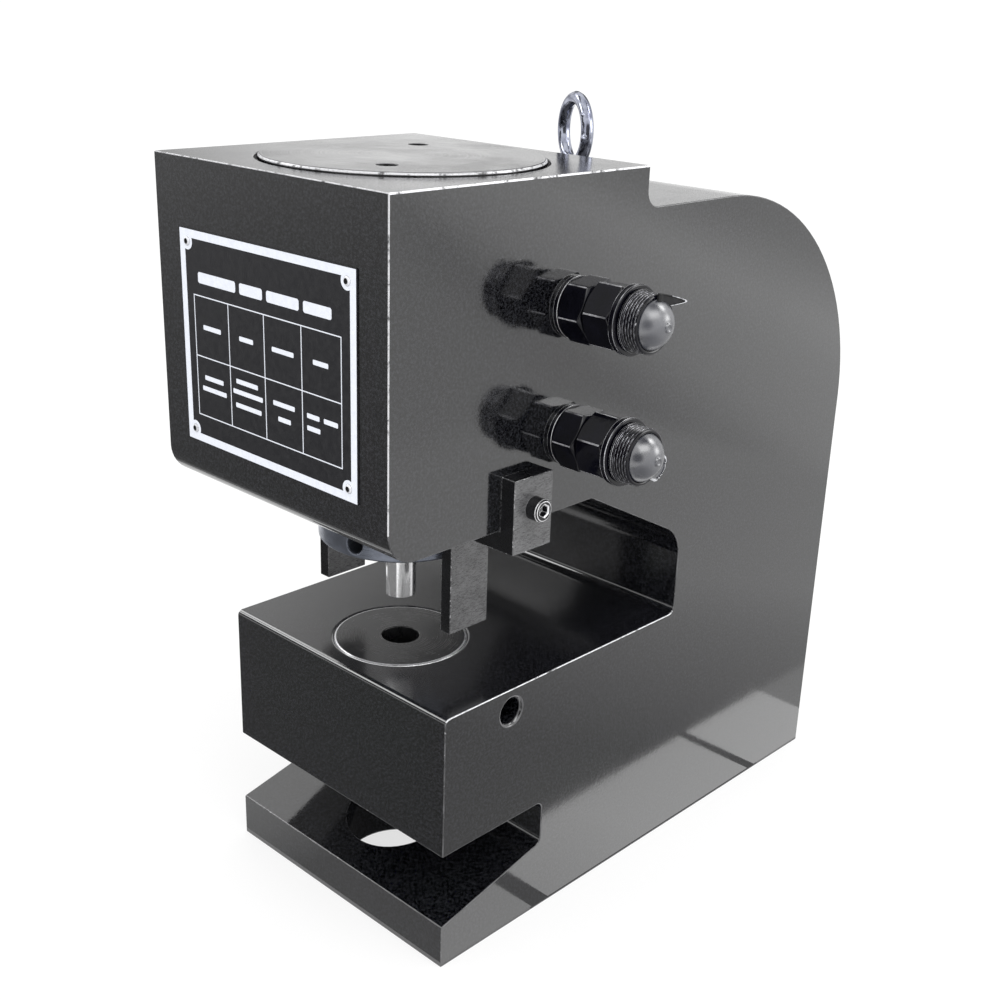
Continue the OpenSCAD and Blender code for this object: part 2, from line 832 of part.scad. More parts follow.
module lower_dust_plug() { color(rubber) out_of_side(port_y, lower_z) dust_plug(lower_ear); }

c_frame();
cylinder_cap();
cap_seal();
ram();
piston_seal();
piston_guide_ring();
gland_ring();
gland_seal();
rod_seal();
rod_wiper();
punch();
punch_set_screw();
die();
die_set_screw();
stripper_right();
stripper_left();
stripper_screw_right();
stripper_screw_left();
eye_bolt();
nameplate();
nameplate_rivets();
upper_port_washer();
upper_adapter();
upper_adapter_seal();
upper_coupler();
upper_check_spring();
upper_check_ball();
upper_dust_plug();
lower_port_washer();
lower_adapter();
lower_adapter_seal();
lower_coupler();
lower_check_spring();
lower_check_ball();
lower_dust_plug();
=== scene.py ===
"""Looks of the bench hydraulic punching machine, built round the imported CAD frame.

Metres, in the CAD frame: +X towards the hose couplers, -Y towards the nameplate, +Z up.
The machine's sizes are written in millimetres and multiplied by MM. The studio's are in metres.
"""
import json
import math
import random

import bmesh
import bpy
from mathutils import Matrix, Vector


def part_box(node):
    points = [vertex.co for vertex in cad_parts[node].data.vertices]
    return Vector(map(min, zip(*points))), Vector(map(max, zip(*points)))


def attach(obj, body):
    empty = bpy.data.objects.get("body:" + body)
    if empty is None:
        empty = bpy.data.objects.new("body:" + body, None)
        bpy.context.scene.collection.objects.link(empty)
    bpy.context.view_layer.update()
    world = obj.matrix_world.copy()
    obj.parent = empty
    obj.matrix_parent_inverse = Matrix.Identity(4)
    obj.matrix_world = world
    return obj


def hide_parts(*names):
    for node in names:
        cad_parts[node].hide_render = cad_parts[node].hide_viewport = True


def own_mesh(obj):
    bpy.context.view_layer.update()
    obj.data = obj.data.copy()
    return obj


MM = 0.001
SEED = 7

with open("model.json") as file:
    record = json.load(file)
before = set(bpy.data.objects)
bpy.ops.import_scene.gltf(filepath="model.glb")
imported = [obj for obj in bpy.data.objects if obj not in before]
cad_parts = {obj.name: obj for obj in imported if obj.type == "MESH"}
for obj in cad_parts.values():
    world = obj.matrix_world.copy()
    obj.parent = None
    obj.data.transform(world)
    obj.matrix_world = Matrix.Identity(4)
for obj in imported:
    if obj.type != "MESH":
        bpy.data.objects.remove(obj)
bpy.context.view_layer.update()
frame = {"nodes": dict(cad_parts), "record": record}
nodes = frame["nodes"]
boxes = {node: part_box(node) for node in nodes}
record = frame["record"]
slots = {row["node"]: row["material_slot"] for row in record["subparts"]}
bodies = {node: body for body, members in record["behaviour"]["bodies"].items() for node in members}
mounts = {mount["name"]: mount for mount in record["mounts"]}


def middle_of(node):
    """The middle of a CAD node's box, in metres."""
    return sum(boxes[node], Vector()) / 2


def added(name, data):
    """A new object in the scene."""
    made = bpy.data.objects.new(name, data)
    bpy.context.scene.collection.objects.link(made)
    return made


# -------- camera

CAMERA_PLACE = (0.5601, -0.6461, 0.5388)
CAMERA_RIGHT = (0.71887, 0.69444, 0.03133)
CAMERA_UP = (-0.26586, 0.23301, 0.93543)
CAMERA_BACK = (0.64230, -0.68078, 0.35212)
CAMERA_LENS = 49.02
CAMERA_SENSOR = 36


def make_camera():
    data = bpy.data.cameras.new("camera")
    data.lens = CAMERA_LENS
    data.sensor_width = CAMERA_SENSOR
    data.clip_start = 0.01
    camera = added("camera", data)
    turn = Matrix((CAMERA_RIGHT, CAMERA_UP, CAMERA_BACK)).transposed()
    camera.matrix_world = Matrix.Translation(CAMERA_PLACE) @ turn.to_4x4()
    bpy.context.scene.camera = camera


# -------- material helpers

# The Mix node's sockets for colours
MIX_A, MIX_B, MIX_RESULT = 6, 7, 2


class Shader:
    """A material with a Principled surface, and short ways to add the nodes that feed it."""

    def __init__(self, name, metallic=0.0, ior=1.5):
        self.material = bpy.data.materials.new(name)
        self.material.use_nodes = True
        self.nodes = self.material.node_tree.nodes
        self.place = self.nodes.new("ShaderNodeTexCoord").outputs["Object"]
        self.feed("Metallic", metallic)
        self.feed("IOR", ior)

    def put(self, socket, value):
        """Links a socket to another node's output, or gives it a fixed value."""
        if isinstance(value, bpy.types.NodeSocket):
            self.material.node_tree.links.new(value, socket)
        else:
            socket.default_value = (*value, 1) if socket.type == "RGBA" else value

    def feed(self, socket, value):
        """Puts a value into one of the surface's sockets."""
        self.put(self.nodes["Principled BSDF"].inputs[socket], value)

    def node(self, kind, inputs, **settings):
        """Adds a node, with its inputs by name or number."""
        made = self.nodes.new("ShaderNode" + kind)
        for name, value in settings.items():
            setattr(made, name, value)
        for name, value in inputs.items():
            self.put(made.inputs[name], value)
        return made

    def stretched(self, scale):
        """The object's coordinates, scaled by a different amount along each axis."""
        return self.node("Mapping", {"Vector": self.place, "Scale": scale}).outputs["Vector"]

    def noise(self, scale, detail, rough, place=None):
        inputs = {"Vector": place or self.place, "Scale": scale, "Detail": detail, "Roughness": rough}
        return self.node("TexNoise", inputs).outputs["Fac"]

    def rings(self, node, scale):
        """Noise that changes only with the distance from a CAD node's upright axis."""
        middle = middle_of(node)
        shift = (-middle.x, -middle.y, 0)
        level = self.node("Mapping", {"Vector": self.place, "Location": shift, "Scale": (1, 1, 0)})
        length = self.node("VectorMath", {0: level.outputs["Vector"]}, operation="LENGTH")
        inputs = {"W": length.outputs["Value"], "Scale": scale, "Detail": 3}
        return self.node("TexNoise", inputs, noise_dimensions="1D").outputs["Fac"]

    def ramp(self, value, low, high, at_low, at_high):
        """Maps value smoothly from the range low..high to at_low..at_high."""
        inputs = {"Value": value, "From Min": low, "From Max": high, "To Min": at_low, "To Max": at_high}
        return self.node("MapRange", inputs, interpolation_type="SMOOTHSTEP").outputs["Result"]

    def sway(self, value, at_low, at_high):
        """Maps a noise's middle range to at_low..at_high."""
        return self.ramp(value, 0.3, 0.7, at_low, at_high)

    def math(self, operation, a, b):
        return self.node("Math", {0: a, 1: b}, operation=operation).outputs["Value"]

    def add(self, a, b):
        return self.math("ADD", a, b)

    def mix(self, share, a, b):
        """Colour a where share is 0 and b where it is 1."""
        return self.node("Mix", {0: share, MIX_A: a, MIX_B: b}, data_type="RGBA").outputs[MIX_RESULT]

    def blend(self, value, low, high, a, b):
        """Colour a where value is below low, turning to b above high."""
        return self.mix(self.ramp(value, low, high, 0, 1), a, b)

    def dress(self, color, roughness, *reliefs):
        """Feeds the surface. Each relief is a height, its depth in millimetres and its strength, and lies on
        top of the one before."""
        self.feed("Base Color", color)
        self.feed("Roughness", roughness)
        under = {}
        for height, depth, strength in reliefs:
            inputs = {"Height": height, "Distance": depth * MM, "Strength": strength, **under}
            under = {"Normal": self.node("Bump", inputs).outputs["Normal"]}
        if under:
            self.feed("Normal", under["Normal"])
        return self.material


# -------- materials

def frame_paint():
    """Thin black gloss paint over ground steel: orange peel, fine speckle, dust nibs and dull patches."""
    s = Shader("frame_paint", ior=2.0)
    fine = s.noise(1300, 2, 0.6)
    speckle = s.blend(s.noise(620, 3, 0.75), 0.40, 0.70, (0.0, 0.0, 0.0005), (0.023, 0.024, 0.028))
    cells = s.node("TexVoronoi", {"Vector": s.place, "Scale": 900}).outputs["Distance"]
    rare = s.ramp(s.noise(160, 3, 0.6), 0.57, 0.7, 0, 1)
    dust = s.math("MULTIPLY", s.ramp(cells, 0.0, 0.15, 1, 0), rare)
    dull = s.ramp(s.noise(9, 4, 0.6), 0.25, 0.75, 0.06, 0.12)
    rough = s.add(dull, s.ramp(fine, 0.3, 0.8, -0.03, 0.06))
    return s.dress(s.mix(dust, speckle, (0.12, 0.12, 0.13)), rough, (s.noise(60, 2, 0.5), 0.05, 0.5),
                   (s.noise(420, 2, 0.55), 0.04, 0.45), (fine, 0.02, 0.35))


def satin_paint():
    """The paint on the level faces, dulled by handling, with pale bluish flecks: partly settled dust, partly
    a painted bluish sheen.
    """
    s = Shader("satin_paint", ior=2.0)
    fine = s.noise(1300, 2, 0.6)
    dust = s.blend(s.noise(700, 3, 0.75), 0.42, 0.72, (0.001, 0.001, 0.002), (0.030, 0.031, 0.037))
    dull = s.ramp(s.noise(9, 4, 0.6), 0.25, 0.75, 0.13, 0.20)
    rough = s.add(dull, s.ramp(fine, 0.3, 0.8, -0.02, 0.06))
    return s.dress(dust, rough, (s.noise(60, 2, 0.5), 0.04, 0.5), (fine, 0.02, 0.35))


def thin_paint(name, chipped):
    """Edges where the paint is thin and a little lighter. Chips show where noise passes chipped."""
    s = Shader(name, ior=2.0)
    thin = s.blend(s.noise(90, 3, 0.6), 0.35, 0.7, (0.03, 0.03, 0.032), (0.09, 0.09, 0.095))
    color = s.blend(s.noise(380, 4, 0.65), chipped, chipped + 0.08, thin, (0.30, 0.30, 0.31))
    rough = s.sway(s.noise(500, 3, 0.6), 0.10, 0.26)
    return s.dress(color, rough, (s.noise(700, 3, 0.6), 0.04, 0.4))


def cap_paint():
    """The turned cap's black finish: fine rings round its axis under the paint."""
    s = Shader("cap_paint", ior=2.0)
    rings = s.rings("cylinder_cap", 1600)
    color = s.blend(s.noise(900, 3, 0.65), 0.36, 0.66, (0.003, 0.003, 0.004), (0.020, 0.020, 0.021))
    dull = s.sway(s.noise(14, 4, 0.6), -0.04, 0.06)
    rough = s.add(s.sway(rings, 0.12, 0.22), dull)
    return s.dress(color, rough, (rings, 0.012, 0.6), (s.noise(300, 2, 0.5), 0.03, 0.4))


def die_steel():
    """Hardened die steel with a dark skin, ground in rings round its hole."""
    s = Shader("die_steel", ior=1.9)
    rings = s.rings("die", 1200)
    fine = s.noise(800, 3, 0.65)
    color = s.blend(fine, 0.36, 0.66, (0.004, 0.004, 0.005), (0.018, 0.018, 0.019))
    stain = s.sway(s.noise(40, 4, 0.65), -0.03, 0.08)
    rough = s.add(s.sway(rings, 0.12, 0.24), stain)
    return s.dress(color, rough, (rings, 0.005, 0.6), (fine, 0.02, 0.3))


def turned(name, color, rough, lines, axis="Z", metallic=1.0, depth=0.02, stained=0.62):
    """Turned metal: fine rings round the given axis, with stains of a darker share of its colour."""
    s = Shader(name, metallic)
    rings = s.noise(1, 3, 0.65, s.stretched({"Z": (30, 30, lines), "X": (lines, 30, 30)}[axis]))
    stain = s.noise(60, 4, 0.6)
    shine = s.add(s.sway(rings, rough - 0.06, rough + 0.08), s.sway(stain, -0.03, 0.06))
    return s.dress(s.blend(stain, 0.35, 0.7, color, [stained * c for c in color]), shine, (rings, depth, 0.6))


def oxide(name, color, rough, grain, ior, depth=0.03):
    """Blackened steel with a fine grain and paler stains."""
    s = Shader(name, ior=ior)
    fine = s.noise(grain, 3, 0.6)
    stain = s.noise(90, 4, 0.65)
    shine = s.add(s.sway(fine, rough - 0.05, rough + 0.1), s.sway(stain, -0.03, 0.05))
    return s.dress(s.blend(stain, 0.35, 0.8, color, [2.4 * c for c in color]), shine, (fine, depth, 0.6))


def brushed_skin():
    """The strippers' outer faces: steel brushed along Y under a thin black skin."""
    s = Shader("brushed_skin", ior=1.8)
    streaks = s.noise(1, 4, 0.8, s.stretched((900, 420, 2300)))
    stain = s.ramp(s.noise(70, 4, 0.6), 0.35, 0.7, 0, 0.25)
    tone = s.add(s.ramp(streaks, 0.3, 0.72, 0, 0.75), stain)
    return s.dress(s.mix(tone, (0.006, 0.006, 0.007), (0.17, 0.17, 0.175)),
                   s.sway(streaks, 0.22, 0.42), (streaks, 0.08, 0.8))


def mottled(name, patches, low, high, first, second, rough, reliefs=(), grain=None, metal=0, **base):
    """Patches of noise that turn from the first colour to the second between low and high. The second
    colour is metal by the share metal. The roughness goes with the grain, or with the patches where none is
    given. reliefs hold a noise, depth and strength."""
    s = Shader(name, **base)
    spots = s.noise(*patches)
    turn = s.ramp(spots, low, high, 0, 1)
    if metal:
        s.feed("Metallic", s.ramp(turn, 0, 1, 0, metal))
    shine = s.sway(s.noise(*grain) if grain else spots, *rough)
    return s.dress(s.mix(turn, first, second), shine, *((s.noise(*row[0]), *row[1:]) for row in reliefs))


def rubbed_and_highlit(name, patches, low, high, first, second, rough, grain=500, **base):
    """Edges made pale in patches: partly rubbed metal, partly a painted highlight."""
    return mottled(name, patches, low, high, first, second, rough, [((grain + 200, 3, 0.6), 0.05, 0.5)],
                   (grain, 3, 0.6), **base)


def rubber(name, color, rough):
    return mottled(name, (120, 4, 0.6), 0.35, 0.75, color, [1.8 * c for c in color],
                   (rough - 0.05, rough + 0.1), [((900, 3, 0.6), 0.04, 0.5)], ior=1.52)


def plug_plastic():
    """The dust plugs' satin dark plastic, scuffed and a little blue."""
    s = Shader("plug_plastic", ior=2.5)
    bloom = s.noise(70, 3, 0.5)
    tone = s.blend(bloom, 0.35, 0.7, (0.020, 0.022, 0.032), (0.036, 0.039, 0.054))
    scuffs = s.ramp(s.noise(900, 3, 0.7), 0.5, 0.8, 0, 0.3)
    return s.dress(s.mix(scuffs, tone, (0.16, 0.16, 0.18)), s.sway(bloom, 0.24, 0.34),
                   (s.noise(500, 3, 0.6), 0.03, 0.4))


def floor_surface():
    """A pale matt floor that glows a little, so that shadows on it stay light."""
    s = Shader("floor")
    s.feed("Specular IOR Level", 0.0)
    s.feed("Emission Color", (1, 1, 1))
    s.feed("Emission Strength", 0.72)
    return s.dress(s.blend(s.noise(1.5, 2, 0.5), 0.3, 0.7, (0.31, 0.31, 0.31), (0.29, 0.29, 0.29)), 0.8)


# What the record's material slots wear, by slot
materials = {
    "frame_paint": frame_paint(),
    "cap_paint": cap_paint(),
    "ram_steel": turned("ram_steel", (0.24, 0.26, 0.31), 0.3, 1500, metallic=0.8),
    "punch_steel": turned("punch_steel", (0.95, 0.95, 0.96), 0.13, 2500, "Z", 0.9, 0.005, 0.9),
    "die_steel": die_steel(),
    "bronze": turned("bronze", (0.52, 0.36, 0.16), 0.3, 1200),
    "seal_rubber": rubber("seal_rubber", (0.03, 0.07, 0.05), 0.5),
    "black_rubber": rubber("black_rubber", (0.012, 0.012, 0.012), 0.55),
    "plug_rubber": plug_plastic(),
    "screw_steel": oxide("screw_steel", (0.005, 0.005, 0.006), 0.26, 900, 1.5),
    "stripper_steel": oxide("stripper_steel", (0.003, 0.003, 0.004), 0.26, 700, 1.45, 0.02),
    "plated_steel": mottled("plated_steel", (140, 3, 0.6), 0.35, 0.75, (0.43, 0.45, 0.53), (0.17, 0.18, 0.25),
                            (0.08, 0.18), [((90, 2, 0.5), 0.5, 0.4), ((900, 2, 0.5), 0.06, 0.3)],
                            metallic=1.0),
    "plate_print": mottled("plate_field", (240, 4, 0.65), 0.3, 0.75, (0.009, 0.009, 0.012),
                           (0.017, 0.017, 0.020), (0.34, 0.5), [((1200, 2, 0.5), 0.02, 0.4)]),
    "rivet_metal": turned("rivet_metal", (0.85, 0.86, 0.90), 0.42, 900, metallic=0.3),
    "coupler_steel": oxide("coupler_steel", (0.002, 0.002, 0.004), 0.08, 500, 1.46),
    "spring_steel": turned("spring_steel", (0.55, 0.55, 0.56), 0.25, 900, "X"),
    "ball_steel": turned("ball_steel", (0.75, 0.75, 0.76), 0.1, 300, "X", depth=0.004),
}
# What some faces of a piece wear instead of its slot's material
# The level faces wear a paler bluish paint: partly settled dust, partly a painted bluish sheen.
level_paint = satin_paint()
worn_edge = thin_paint("worn_edge", 0.64)
chipped_edge = thin_paint("chipped_edge", 0.53)
dashed_edge = thin_paint("dashed_edge", 0.46)
# Pale bare metal on chosen edges: partly rubbed paint, partly a painted highlight where the edges catch the
# light.
bare_and_highlit_edge = rubbed_and_highlit("bare_and_highlit_edge", (150, 5, 0.7), 0.34, 0.50, (0.05, 0.05, 0.052), (0.70, 0.70, 0.72),
                   (0.22, 0.42), metal=0.35)
# Pale rings on washers and screw heads: partly bare metal, partly a painted highlight.
bright_edge = rubbed_and_highlit("bright_edge", (60, 3, 0.5), 0.30, 0.50, (0.45, 0.45, 0.46), (0.90, 0.90, 0.92),
                     (0.18, 0.4), 600, metallic=0.6)
# The couplers' pale edges: partly rubbed metal, partly painted highlights along chamfers and rims.
coupler_edge = rubbed_and_highlit("coupler_edge", (70, 2, 0.5), 0.34, 0.54, (0.16, 0.16, 0.17), (0.88, 0.88, 0.92),
                      (0.14, 0.34), 600, metallic=0.7)
# The ears' pale rim: a painted highlight along the ear's edge.
plug_rim = rubbed_and_highlit("plug_rim", (260, 4, 0.7), 0.35, 0.6, (0.22, 0.22, 0.24), (0.68, 0.69, 0.72),
                  (0.25, 0.45), ior=1.55)
# The die's bright chamfer ring: partly ground bare steel, partly a painted highlight.
ring_edge = turned("ring_edge", (0.93, 0.93, 0.95), 0.28, 900, metallic=0.6, depth=0.004, stained=0.9)
# Pale thread crests: a painted highlight along each crest.
thread_crest = turned("thread_crest", (0.50, 0.50, 0.54), 0.24, 900, "X", 0.9, 0.004, 0.8)
stripper_face = brushed_skin()
# The upper ear's black web: a dark sheet that stands for the shade inside the ear's loop.
plug_web = rubber("plug_web", (0.002, 0.002, 0.003), 0.7)
plate_ink = mottled("plate_ink", (300, 4, 0.65), 0.3, 0.75, (0.85, 0.88, 0.95), (0.76, 0.79, 0.87),
                    (0.38, 0.55))


# -------- mesh helpers

SHARP_EDGE = math.radians(25)
SHADE_SHARP = 32
MERGE = 0.001 * MM


def add_piece(name, mesh, replaced, slot=None, body=None):
    """Links a new piece, which stands for the CAD nodes in replaced and rides on their body."""
    piece = added(name, mesh)
    first = replaced[0] if replaced else None
    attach(piece, body or bodies[first])
    if replaced:
        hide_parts(*replaced)
    slot or slots[first]
    return piece


def to_mesh(shape, name, *worn):
    """Turns a bmesh into a mesh that wears the given materials."""
    mesh = bpy.data.meshes.new(name)
    shape.to_mesh(mesh)
    shape.free()
    for material in worn:
        mesh.materials.append(material)
    return mesh


def smooth(mesh, sharp_angle):
    for polygon in mesh.polygons:
        polygon.use_smooth = True
    mesh.set_sharp_from_angle(angle=math.radians(sharp_angle))


def applied(mesh, kind, **settings):
    """The mesh after a modifier with the given settings."""
    carrier = added("carrier", mesh)
    modifier = carrier.modifiers.new(kind, kind)
    for key, value in settings.items():
        setattr(modifier, key, value)
    bpy.context.view_layer.update()
    depsgraph = bpy.context.evaluated_depsgraph_get()
    result = bpy.data.meshes.new_from_object(carrier.evaluated_get(depsgraph), depsgraph=depsgraph)
    bpy.data.objects.remove(carrier)
    return result


def cleaned_copy(node):
    """A copy of a CAD node's mesh as one closed skin with its flat faces whole."""
    shape = bmesh.new()
    shape.from_mesh(nodes[node].data)
    bmesh.ops.remove_doubles(shape, verts=shape.verts, dist=MERGE)
    bmesh.ops.dissolve_limit(shape, angle_limit=math.radians(0.2), verts=shape.verts, edges=shape.edges)
    bmesh.ops.recalc_face_normals(shape, faces=shape.faces)
    return shape


def bevelled(node, name, width, edge_material, share=None, others=()):
    """A copy of a CAD node with its sharp edges rounded. share(middle) gives an edge's share of the width
    by where its middle is, in millimetres. others are pairs of a material and a rule
    (middle, normal, is_edge) that says which faces wear it."""
    shape = cleaned_copy(node)
    weights = shape.edges.layers.float.new("bevel_weight_edge")
    for edge in shape.edges:
        if len(edge.link_faces) == 2 and edge.calc_face_angle(0) >= SHARP_EDGE:
            middle = (edge.verts[0].co + edge.verts[1].co) / 2
            edge[weights] = share(middle / MM) if share else 1.0
    mesh = to_mesh(shape, name, materials[slots[node]], edge_material)
    mesh = applied(mesh, "BEVEL", width=width * MM, segments=3, limit_method="WEIGHT", material=1,
                   use_clamp_overlap=False)
    smooth(mesh, SHADE_SHARP)
    mesh = applied(mesh, "WEIGHTED_NORMAL", keep_sharp=True, weight=60)
    edges = {polygon.index for polygon in mesh.polygons if polygon.material_index == 1}
    for material, rule in others:
        mesh.materials.append(material)
        for polygon in mesh.polygons:
            if rule(polygon.center / MM, polygon.normal, polygon.index in edges):
                polygon.material_index = len(mesh.materials) - 1
    add_piece(name, mesh, [node])


def closed_copy(node, name):
    """A piece with a CAD node's own shape, as one smooth closed skin."""
    shape = cleaned_copy(node)
    bmesh.ops.dissolve_degenerate(shape, dist=MERGE, edges=shape.edges)
    mesh = to_mesh(shape, name, materials[slots[node]])
    smooth(mesh, 50)
    return add_piece(name, mesh, [node])


def add_grid(shape, rows):
    """Adds a skin through rows of points, each row closed on itself."""
    made = [[shape.verts.new(p) for p in row] for row in rows]
    for upper, lower in zip(made, made[1:]):
        for k in range(len(upper)):
            m = (k + 1) % len(upper)
            shape.faces.new((upper[k], upper[m], lower[m], lower[k]))


def even_angles(count):
    return [2 * math.pi * k / count for k in range(count)]


# -------- turned pieces

TURNED_SHARP = 38
# Which faces of a turned piece are made pale, partly as rubbed metal and partly as a painted highlight: those
# beside an outward fold of at least the fold below, no wider than the width below and less than the depth
# below further in than the faces around them
RUB_GLINT_FOLD = math.radians(9)
RUB_GLINT_WIDTH = 0.45
RUB_GLINT_BELOW = 0.04
# A hexagon's chamfer, how far it goes into the flats, and how softly its sides and corners meet
CHAMFER_SLOPE = math.tan(math.radians(30))
CHAMFER_IN = 0.4
CHAMFER_BLEND = 0.25
HEX_BLEND = 0.5
HEX_CORNER_CUT = 0.12


def rounded(points, radius, steps=3):
    """A closed profile of (station, radius) points with its corners rounded by radius or by their own."""
    result = []
    for i, point in enumerate(points):
        here = Vector(point[:2])
        own = point[2] if len(point) > 2 else radius
        before = Vector(points[i - 1][:2]) - here
        after = Vector(points[(i + 1) % len(points)][:2]) - here
        reach = min(own, 0.45 * before.length, 0.45 * after.length)
        if reach < 0.01 or before.angle(after, math.pi) > math.radians(172):
            result.append(tuple(here))
            continue
        first = here + before.normalized() * reach
        last = here + after.normalized() * reach
        for k in range(steps + 1):
            t = k / steps
            result.append(tuple(first * (1 - t) ** 2 + here * 2 * t * (1 - t) + last * t ** 2))
    return result


def lathe(name, rows, angles, rule=None, worn=()):
    """A closed skin of rings round +Z: rows are (station, radius) points in millimetres, in order
    round the section. rule(station, radius, angle) may change a point's radius."""
    skin = []
    for station, radius in rows:
        ring = [(rule(station, radius, a) if rule else radius, a) for a in angles]
        skin.append([(r * math.cos(a) * MM, r * math.sin(a) * MM, station * MM) for r, a in ring])
    shape = bmesh.new()
    add_grid(shape, skin + skin[:1])
    bmesh.ops.remove_doubles(shape, verts=shape.verts, dist=MERGE / 10)
    flat = [face for face in shape.faces if face.calc_area() < 1e-14]
    bmesh.ops.delete(shape, geom=flat, context="FACES")
    bmesh.ops.recalc_face_normals(shape, faces=shape.faces)
    mesh = to_mesh(shape, name, *worn)
    smooth(mesh, TURNED_SHARP)
    return mesh


def rub_and_highlight_edges(mesh, thread=None):
    """Gives the narrow faces along the outward edges of a turned mesh its second material, a pale colour that
    is partly rubbed metal and partly a painted highlight. On a thread, given as its two stations and its
    crests' least radius, only the crests are made pale, and wear the third, a painted highlight."""
    shape = bmesh.new()
    shape.from_mesh(mesh)

    def reach(face):
        return face.calc_center_median().xy.length / MM

    for face in shape.faces:
        if thread and thread[0] < face.calc_center_median().z / MM < thread[1]:
            if reach(face) > thread[2]:
                face.material_index = 2
            continue
        fold = max(edge.calc_face_angle_signed(0) for edge in face.edges)
        width = min(edge.calc_length() for edge in face.edges) / MM
        if fold < RUB_GLINT_FOLD or width > RUB_GLINT_WIDTH:
            continue
        around = [other for edge in face.edges for other in edge.link_faces]
        if max(reach(other) for other in around) - reach(face) < RUB_GLINT_BELOW:
            face.material_index = 1
    shape.to_mesh(mesh)
    shape.free()


def hex_angles(turn):
    """Angles close together at a hexagon's corners and wider apart along its flats."""
    near = (-3.4, -2.2, -1.3, -0.5, 0.5, 1.3, 2.2, 3.4)
    steps = near + tuple(range(7, 54, 5))
    return [math.radians(turn + 60 * corner + step) for corner in range(6) for step in steps]


def soft_min(a, b, blend):
    h = max(0.0, min(1.0, 0.5 + 0.5 * (b - a) / blend))
    return b * (1 - h) + a * h - blend * h * (1 - h)


def hex_corner(across):
    return across / 2 / math.cos(math.radians(30))


def hexagon(across, turn, low, high):
    """The radius rule of a hexagon between two stations, chamfered at both ends."""
    def rule(station, radius, angle):
        if radius < across / 2 - 1 or not low <= station <= high:
            return radius
        from_flat = (math.degrees(angle) - turn) % 60 - 30
        side = across / 2 / math.cos(math.radians(from_flat))
        side = soft_min(side, hex_corner(across) - HEX_CORNER_CUT, HEX_BLEND)
        end = min(station - low, high - station)
        return min(radius, soft_min(side, across / 2 - CHAMFER_IN + end / CHAMFER_SLOPE, CHAMFER_BLEND))
    return rule


def hexagon_rows(across, low, high):
    """Stations along a hexagon, close together in its chamfers."""
    corner = hex_corner(across)
    depth = (corner - across / 2 + CHAMFER_IN) * CHAMFER_SLOPE + CHAMFER_BLEND
    near = [depth * k / 9 for k in range(10)]
    return ([(low + d, corner) for d in near]
            + [(low + (high - low) * t, corner) for t in (0.35, 0.65)]
            + [(high - d, corner) for d in reversed(near)])


def out_of_side(mesh, side):
    """Moves a mesh whose axis is +Z to a hose port on the frame's right side."""
    place = mounts[side + "_hose_thread"]["pos_m"]
    port = Vector((boxes["c_frame"][1].x, place[1], place[2]))
    mesh.transform(Matrix.Translation(port) @ Matrix.Rotation(math.pi / 2, 4, "Y"))
    return mesh


# -------- couplers

# Stations along the axis from the frame's side face, and radii and widths across, in millimetres
WASHER_T = 3
WASHER_R = 17
WASHER_BORE_R = 10.1
ADAPTER_HEX = (3, 19)
ADAPTER_ACROSS = 32
ADAPTER_TURN = 17
ADAPTER_START = -15
ADAPTER_R = 10
ADAPTER_BORE_R = 5.5
ORIFICE_END = 14
ORIFICE_R = 3.5
COUPLER_HEX = (20, 38.5)
COUPLER_ACROSS = 33
HEX_TURNS = {"upper": 21, "lower": 11}
FLANGE_END = 42.5
FLANGE_R = 18.9
NECK_R = 14.5
BEAD = (43.2, 44.8)
BEAD_R = 16.7
THREAD = (44.8, 54.5)
THREAD_R = 15.8
THREAD_PITCH = 1.8
THREAD_DEPTH = 0.85
THREAD_ROWS = 110
STUB_R = 9.1
STUB_GROOVE = (22.95, 26.25)
STUB_GROOVE_R = 7.1
STUB_END = 32.3
SOCKET_START = 19
SOCKET_BORE_R = STUB_R + 0.05
SPRING_BORE_R = 6.3
SEAT = 41.8
SEAT_R = 4.5
THROAT = 44.3
THROAT_R = 11.3
RIM = 50.5
MOUTH_R = 13.6


def add_coupler_piece(side, name, node, rows, angles, edge, rule=None, thread=None):
    """A turned steel piece of a coupler, with pale edges: partly rubbed, partly a painted highlight."""
    worn = [materials["coupler_steel"], edge]
    if thread:
        worn.append(thread_crest)
    mesh = lathe(side + name, rows, angles, rule, worn)
    rub_and_highlight_edges(mesh, thread)
    add_piece(side + name, out_of_side(mesh, side), [side + node])


def make_washer(side):
    corners = [(0, WASHER_BORE_R), (0, WASHER_R), (WASHER_T, WASHER_R, 0.5), (WASHER_T, WASHER_BORE_R)]
    add_coupler_piece(side, "_washer", "_port_washer", rounded(corners, 0.25), even_angles(96), bright_edge)


def make_adapter(side):
    turn = HEX_TURNS[side] + ADAPTER_TURN
    low, high = ADAPTER_HEX
    groove_low, groove_high = STUB_GROOVE
    rows = ([(ADAPTER_START, ORIFICE_R), (ADAPTER_START, ADAPTER_R - 0.6), (ADAPTER_START + 1, ADAPTER_R),
             (low, ADAPTER_R)]
            + hexagon_rows(ADAPTER_ACROSS, low, high)
            + [(high, STUB_R), (groove_low, STUB_R), (groove_low, STUB_GROOVE_R),
               (groove_high, STUB_GROOVE_R), (groove_high, STUB_R), (STUB_END - 0.4, STUB_R),
               (STUB_END, STUB_R - 0.4), (STUB_END, ADAPTER_BORE_R), (ORIFICE_END, ADAPTER_BORE_R),
               (ORIFICE_END, ORIFICE_R)])
    add_coupler_piece(side, "_adapter_body", "_adapter", rows, hex_angles(turn), coupler_edge,
                      hexagon(ADAPTER_ACROSS, turn, low, high))


def thread_rule(station, radius, angle):
    """Cuts a helical groove with round crests between the thread's two ends."""
    low, high = THREAD
    if radius < THREAD_R - 0.01 or not low < station < high:
        return radius
    phase = ((station - low) / THREAD_PITCH - angle / (2 * math.pi)) % 1.0
    groove = max(0.0, math.sin(math.pi * min(1.0, phase / 0.78))) ** 0.8
    fade = max(0.0, min(1.0, station - low, (high - 0.5 - station) / 0.8))
    return radius - THREAD_DEPTH * groove * fade


